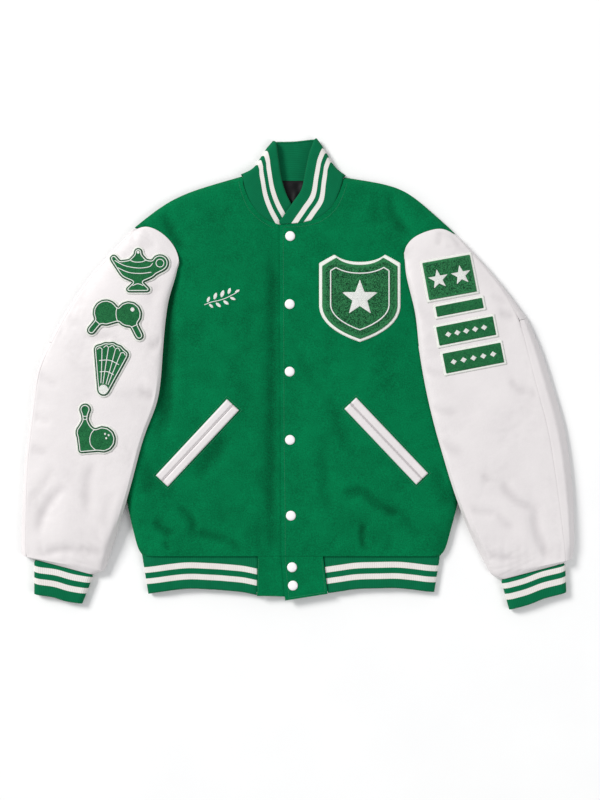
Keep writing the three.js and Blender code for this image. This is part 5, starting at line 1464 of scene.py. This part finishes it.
satin_made = satin_threads.finish("embroidery", WHITE_THREAD)
dark_made = dark_cords.finish("motif_outlines", DARK_THREAD)
pale_made = pale_cords.finish("motif_lines", WHITE_THREAD)


# Leather in the elbow seams and in the pocket slits, darkened as painted shade in the seams and painted
# shadow in the slits

SEAM_REACH = 0.9
SEAM_WINDOW = 25
SEAM_ASIDE = 20
SEAM_SUNK = 0.42
SEAM_RADIUS = 1.2


def elbow_seam(side):
    """The middle of the wall along the seam near a sleeve's outer edge."""
    outer = -1 if side == "right" else 1
    over = plan_points(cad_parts["top_sleeve_" + side].data)
    met = []
    for part in ("upper", "lower"):
        under = plan_points(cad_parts[f"under_sleeve_{part}_{side}"].data)
        tree = KDTree(len(under))
        for index, point in enumerate(under):
            tree.insert(point, index)
        tree.balance()
        for point in over:
            near, index, gap = tree.find(point)
            level = over[np.abs(over[:, 1] - point[1]) < SEAM_WINDOW, 0]
            middle = (level.min() + level.max()) / 2
            if gap < SEAM_REACH and outer * (point[0] - middle) > SEAM_ASIDE:
                met.append((point + np.array(near)) / 2)
    met = np.array(sorted(met, key=lambda place: place[1]))
    groups = np.split(met, np.where(np.diff(met[:, 1]) > 4)[0] + 1)
    line = np.array([group.mean(axis=0) for group in groups])
    line[1:-1] += (line[:-2] - 2 * line[1:-1] + line[2:]) / 8
    return curve_line(line, 1.6, 10)


seam_fill = Threads()
for side in ("right", "left"):
    # A soft painted shade along each elbow seam's groove.
    seam_fill.add(elbow_seam(side) - np.array([0, 0, SEAM_SUNK]), SEAM_RADIUS, dent=0.3)
SLIT_END = 5.0
SLIT_LIFT = 1.45
SLIT_RADIUS = 1.0
TACK_HALF = 2.2
for side in POCKETS:
    middle, ahead, aside = pocket_line(side)
    half = POCKET_LENGTH / 2 - 0.3
    slit = evenly([middle - ahead * half, middle + ahead * half], 2.0)
    # The slit cord is darkened almost fully: a painted shadow inside the slit.
    seam_fill.add(seated(slit, [PANELS["front_" + side]], SLIT_LIFT), SLIT_RADIUS, dent=0.95)
    lips = [SEATS[f"pocket_lip_{lip}_{side}"] for lip in ("upper", "lower")]
    for end in (-1, 1):
        near, far = middle + ahead * end * (half - SLIT_END), middle + ahead * end * half
        wide = aside * TACK_HALF
        tack = [near - wide, far - wide, far + wide, near + wide]
        satin_fill(seam_fill, tack, lips, 0.6, 0.4, math.radians(90 - POCKETS[side][2]))
seams_made = seam_fill.finish("leather_seams", LEATHER_FINISH)


# Snap caps

SNAP_PROFILE = [
    (0.0, 3.05), (1.6, 3.02), (3.2, 2.9), (4.7, 2.66), (6.0, 2.28), (6.9, 1.82), (7.5, 1.3), (7.8, 1.0),
    (8.0, 0.86), (8.1, 0.6), (8.05, 0.25), (7.8, 0.0), (5.0, 0.0), (0.0, 0.0),
]
SNAP_SIDES = 48


def snap_cap(number):
    """A domed cap turned from its profile, on its snap's own place."""
    low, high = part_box(f"snap_{number}")
    x, y = (low.x + high.x) / 2 / MM - SHIFT_X, (low.y + high.y) / 2 / MM - SHIFT_Y
    points, faces = [], []
    for radius, height in SNAP_PROFILE[1:-1]:
        for k in range(SNAP_SIDES):
            turn = k / SNAP_SIDES * 2 * math.pi
            points.append((x + radius * math.cos(turn), y + radius * math.sin(turn), low.z / MM + height))
    rings = len(SNAP_PROFILE) - 2
    for i in range(rings - 1):
        for k in range(SNAP_SIDES):
            a, b = i * SNAP_SIDES + k, i * SNAP_SIDES + (k + 1) % SNAP_SIDES
            faces.append((a, b, b + SNAP_SIDES, a + SNAP_SIDES))
    for i, height in ((0, SNAP_PROFILE[0][1]), (rings - 1, 0.0)):
        points.append((x, y, low.z / MM + height))
        tip = len(points) - 1
        for k in range(SNAP_SIDES):
            faces.append((i * SNAP_SIDES + k, i * SNAP_SIDES + (k + 1) % SNAP_SIDES, tip))
    made = to_object(f"cap_snap_{number}", points, faces, ENAMEL_FINISH)
    outward(made.data)
    return made


SNAP_CAPS = [snap_cap(number) for number in range(1, 8)]


# Neck lining

LINING_TOP = 323


def lining():
    low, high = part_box("neck_lining")
    xs = np.linspace(low.x / MM - SHIFT_X, high.x / MM - SHIFT_X, 70)
    ys = np.linspace(low.y / MM - SHIFT_Y, LINING_TOP, 54)
    x, y = np.meshgrid(xs, ys, indexing="ij")
    fold = 0.9 * ripples(x, y * 0.6, 16, 51) + crease(x, y, (-26, 300, 6, 268, -1.6, 4, 3))
    fold = fold + crease(x, y, (-4, 306, -18, 262, 1.2, 4, -2))
    border = np.minimum.reduce([x - xs[0], xs[-1] - x, y - ys[0], ys[-1] - y])
    z = low.z / MM + 1.0 + (fold + 1.2) * smooth(border / 10)
    outer = np.stack([x, y, z], axis=2)
    return shell("cloth_neck_lining", outer, outer - np.array([0, 0, 0.9]), SATIN_FINISH)


LINING_MADE = lining()


# Floor, light and camera

FLOOR_REACH = 3.0
FLOOR_DROP = 0.0004


def floor():
    mesh = bpy.data.meshes.new("floor")
    shape = bmesh.new()
    bmesh.ops.create_grid(shape, x_segments=24, y_segments=24, size=FLOOR_REACH)
    shape.to_mesh(mesh)
    shape.free()
    mesh.materials.append(floor_finish())
    made = bpy.data.objects.new("floor", mesh)
    made.location.z = -FLOOR_DROP
    bpy.context.scene.collection.objects.link(made)


def area_light(name, place, target, size, power, colour):
    data = bpy.data.lights.new(name, "AREA")
    data.shape = "RECTANGLE"
    data.size, data.size_y = size
    data.energy = power
    data.color = colour
    made = bpy.data.objects.new(name, data)
    made.location = place
    made.rotation_mode = "QUATERNION"
    made.rotation_quaternion = (Vector(target) - Vector(place)).to_track_quat("-Z", "Y")
    bpy.context.scene.collection.objects.link(made)


floor()
area_light("key", (-6.4, 4.4, 6.2), (0, 0, 0), (3.0, 3.0), 850, (1.0, 0.995, 0.985))
area_light("fill", (3.4, -1.6, 3.6), (0, 0, 0), (2.4, 2.4), 55, (0.985, 0.99, 1.0))
world = bpy.data.worlds.new("studio")
world.use_nodes = True
world.node_tree.nodes["Background"].inputs[0].default_value = (0.97, 0.98, 1.0, 1)
world.node_tree.nodes["Background"].inputs[1].default_value = 0.5
bpy.context.scene.world = world
bpy.context.scene.view_settings.view_transform = "Standard"

# The photograph looks straight down; its frame is 990 by 1320 mm at the jacket's mid height.
FRAME_LONG = 1.320
CAMERA_HEIGHT = 2.3
MID_HEIGHT = 0.015
SENSOR_WIDTH = 36
FRAME_MIDDLE = (2.5, -40.4)
camera_data = bpy.data.cameras.new("camera")
camera_data.sensor_width = SENSOR_WIDTH
camera_data.lens = SENSOR_WIDTH * (CAMERA_HEIGHT - MID_HEIGHT) / FRAME_LONG
camera = bpy.data.objects.new("camera", camera_data)
camera.location = ((FRAME_MIDDLE[0] + SHIFT_X) * MM, (FRAME_MIDDLE[1] + SHIFT_Y) * MM, CAMERA_HEIGHT)
bpy.context.scene.collection.objects.link(camera)
bpy.context.scene.camera = camera


# What rides, what stands for which solid, and the cut of each cloth piece

for node, panel in PANELS.items():
    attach(panel.object, "root")
    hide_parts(node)

# The knits are tubes or bands that lie flat, and their cut is all round.
for node, made in KNITS.items():
    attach(made, "root")
    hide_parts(node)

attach(LINING_MADE, "root")
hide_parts("neck_lining")

for node, made, slot, line, on in SEWN:
    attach(made, "root")
    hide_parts(node)
    cut_size(line)
    float(area_of(line) * MM * MM)

for number, made in enumerate(SNAP_CAPS, 1):
    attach(made, "root")
    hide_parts(f"snap_{number}")

THREAD_SLOTS = [
    (wool_threads_made, "wool"), (felt_threads_made, "felt_white"), (satin_made, "felt_white"),
    (dark_made, "rib"), (pale_made, "felt_white"), (seams_made, "leather_white"),
]
for made, slot in THREAD_SLOTS:
    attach(made, "root")
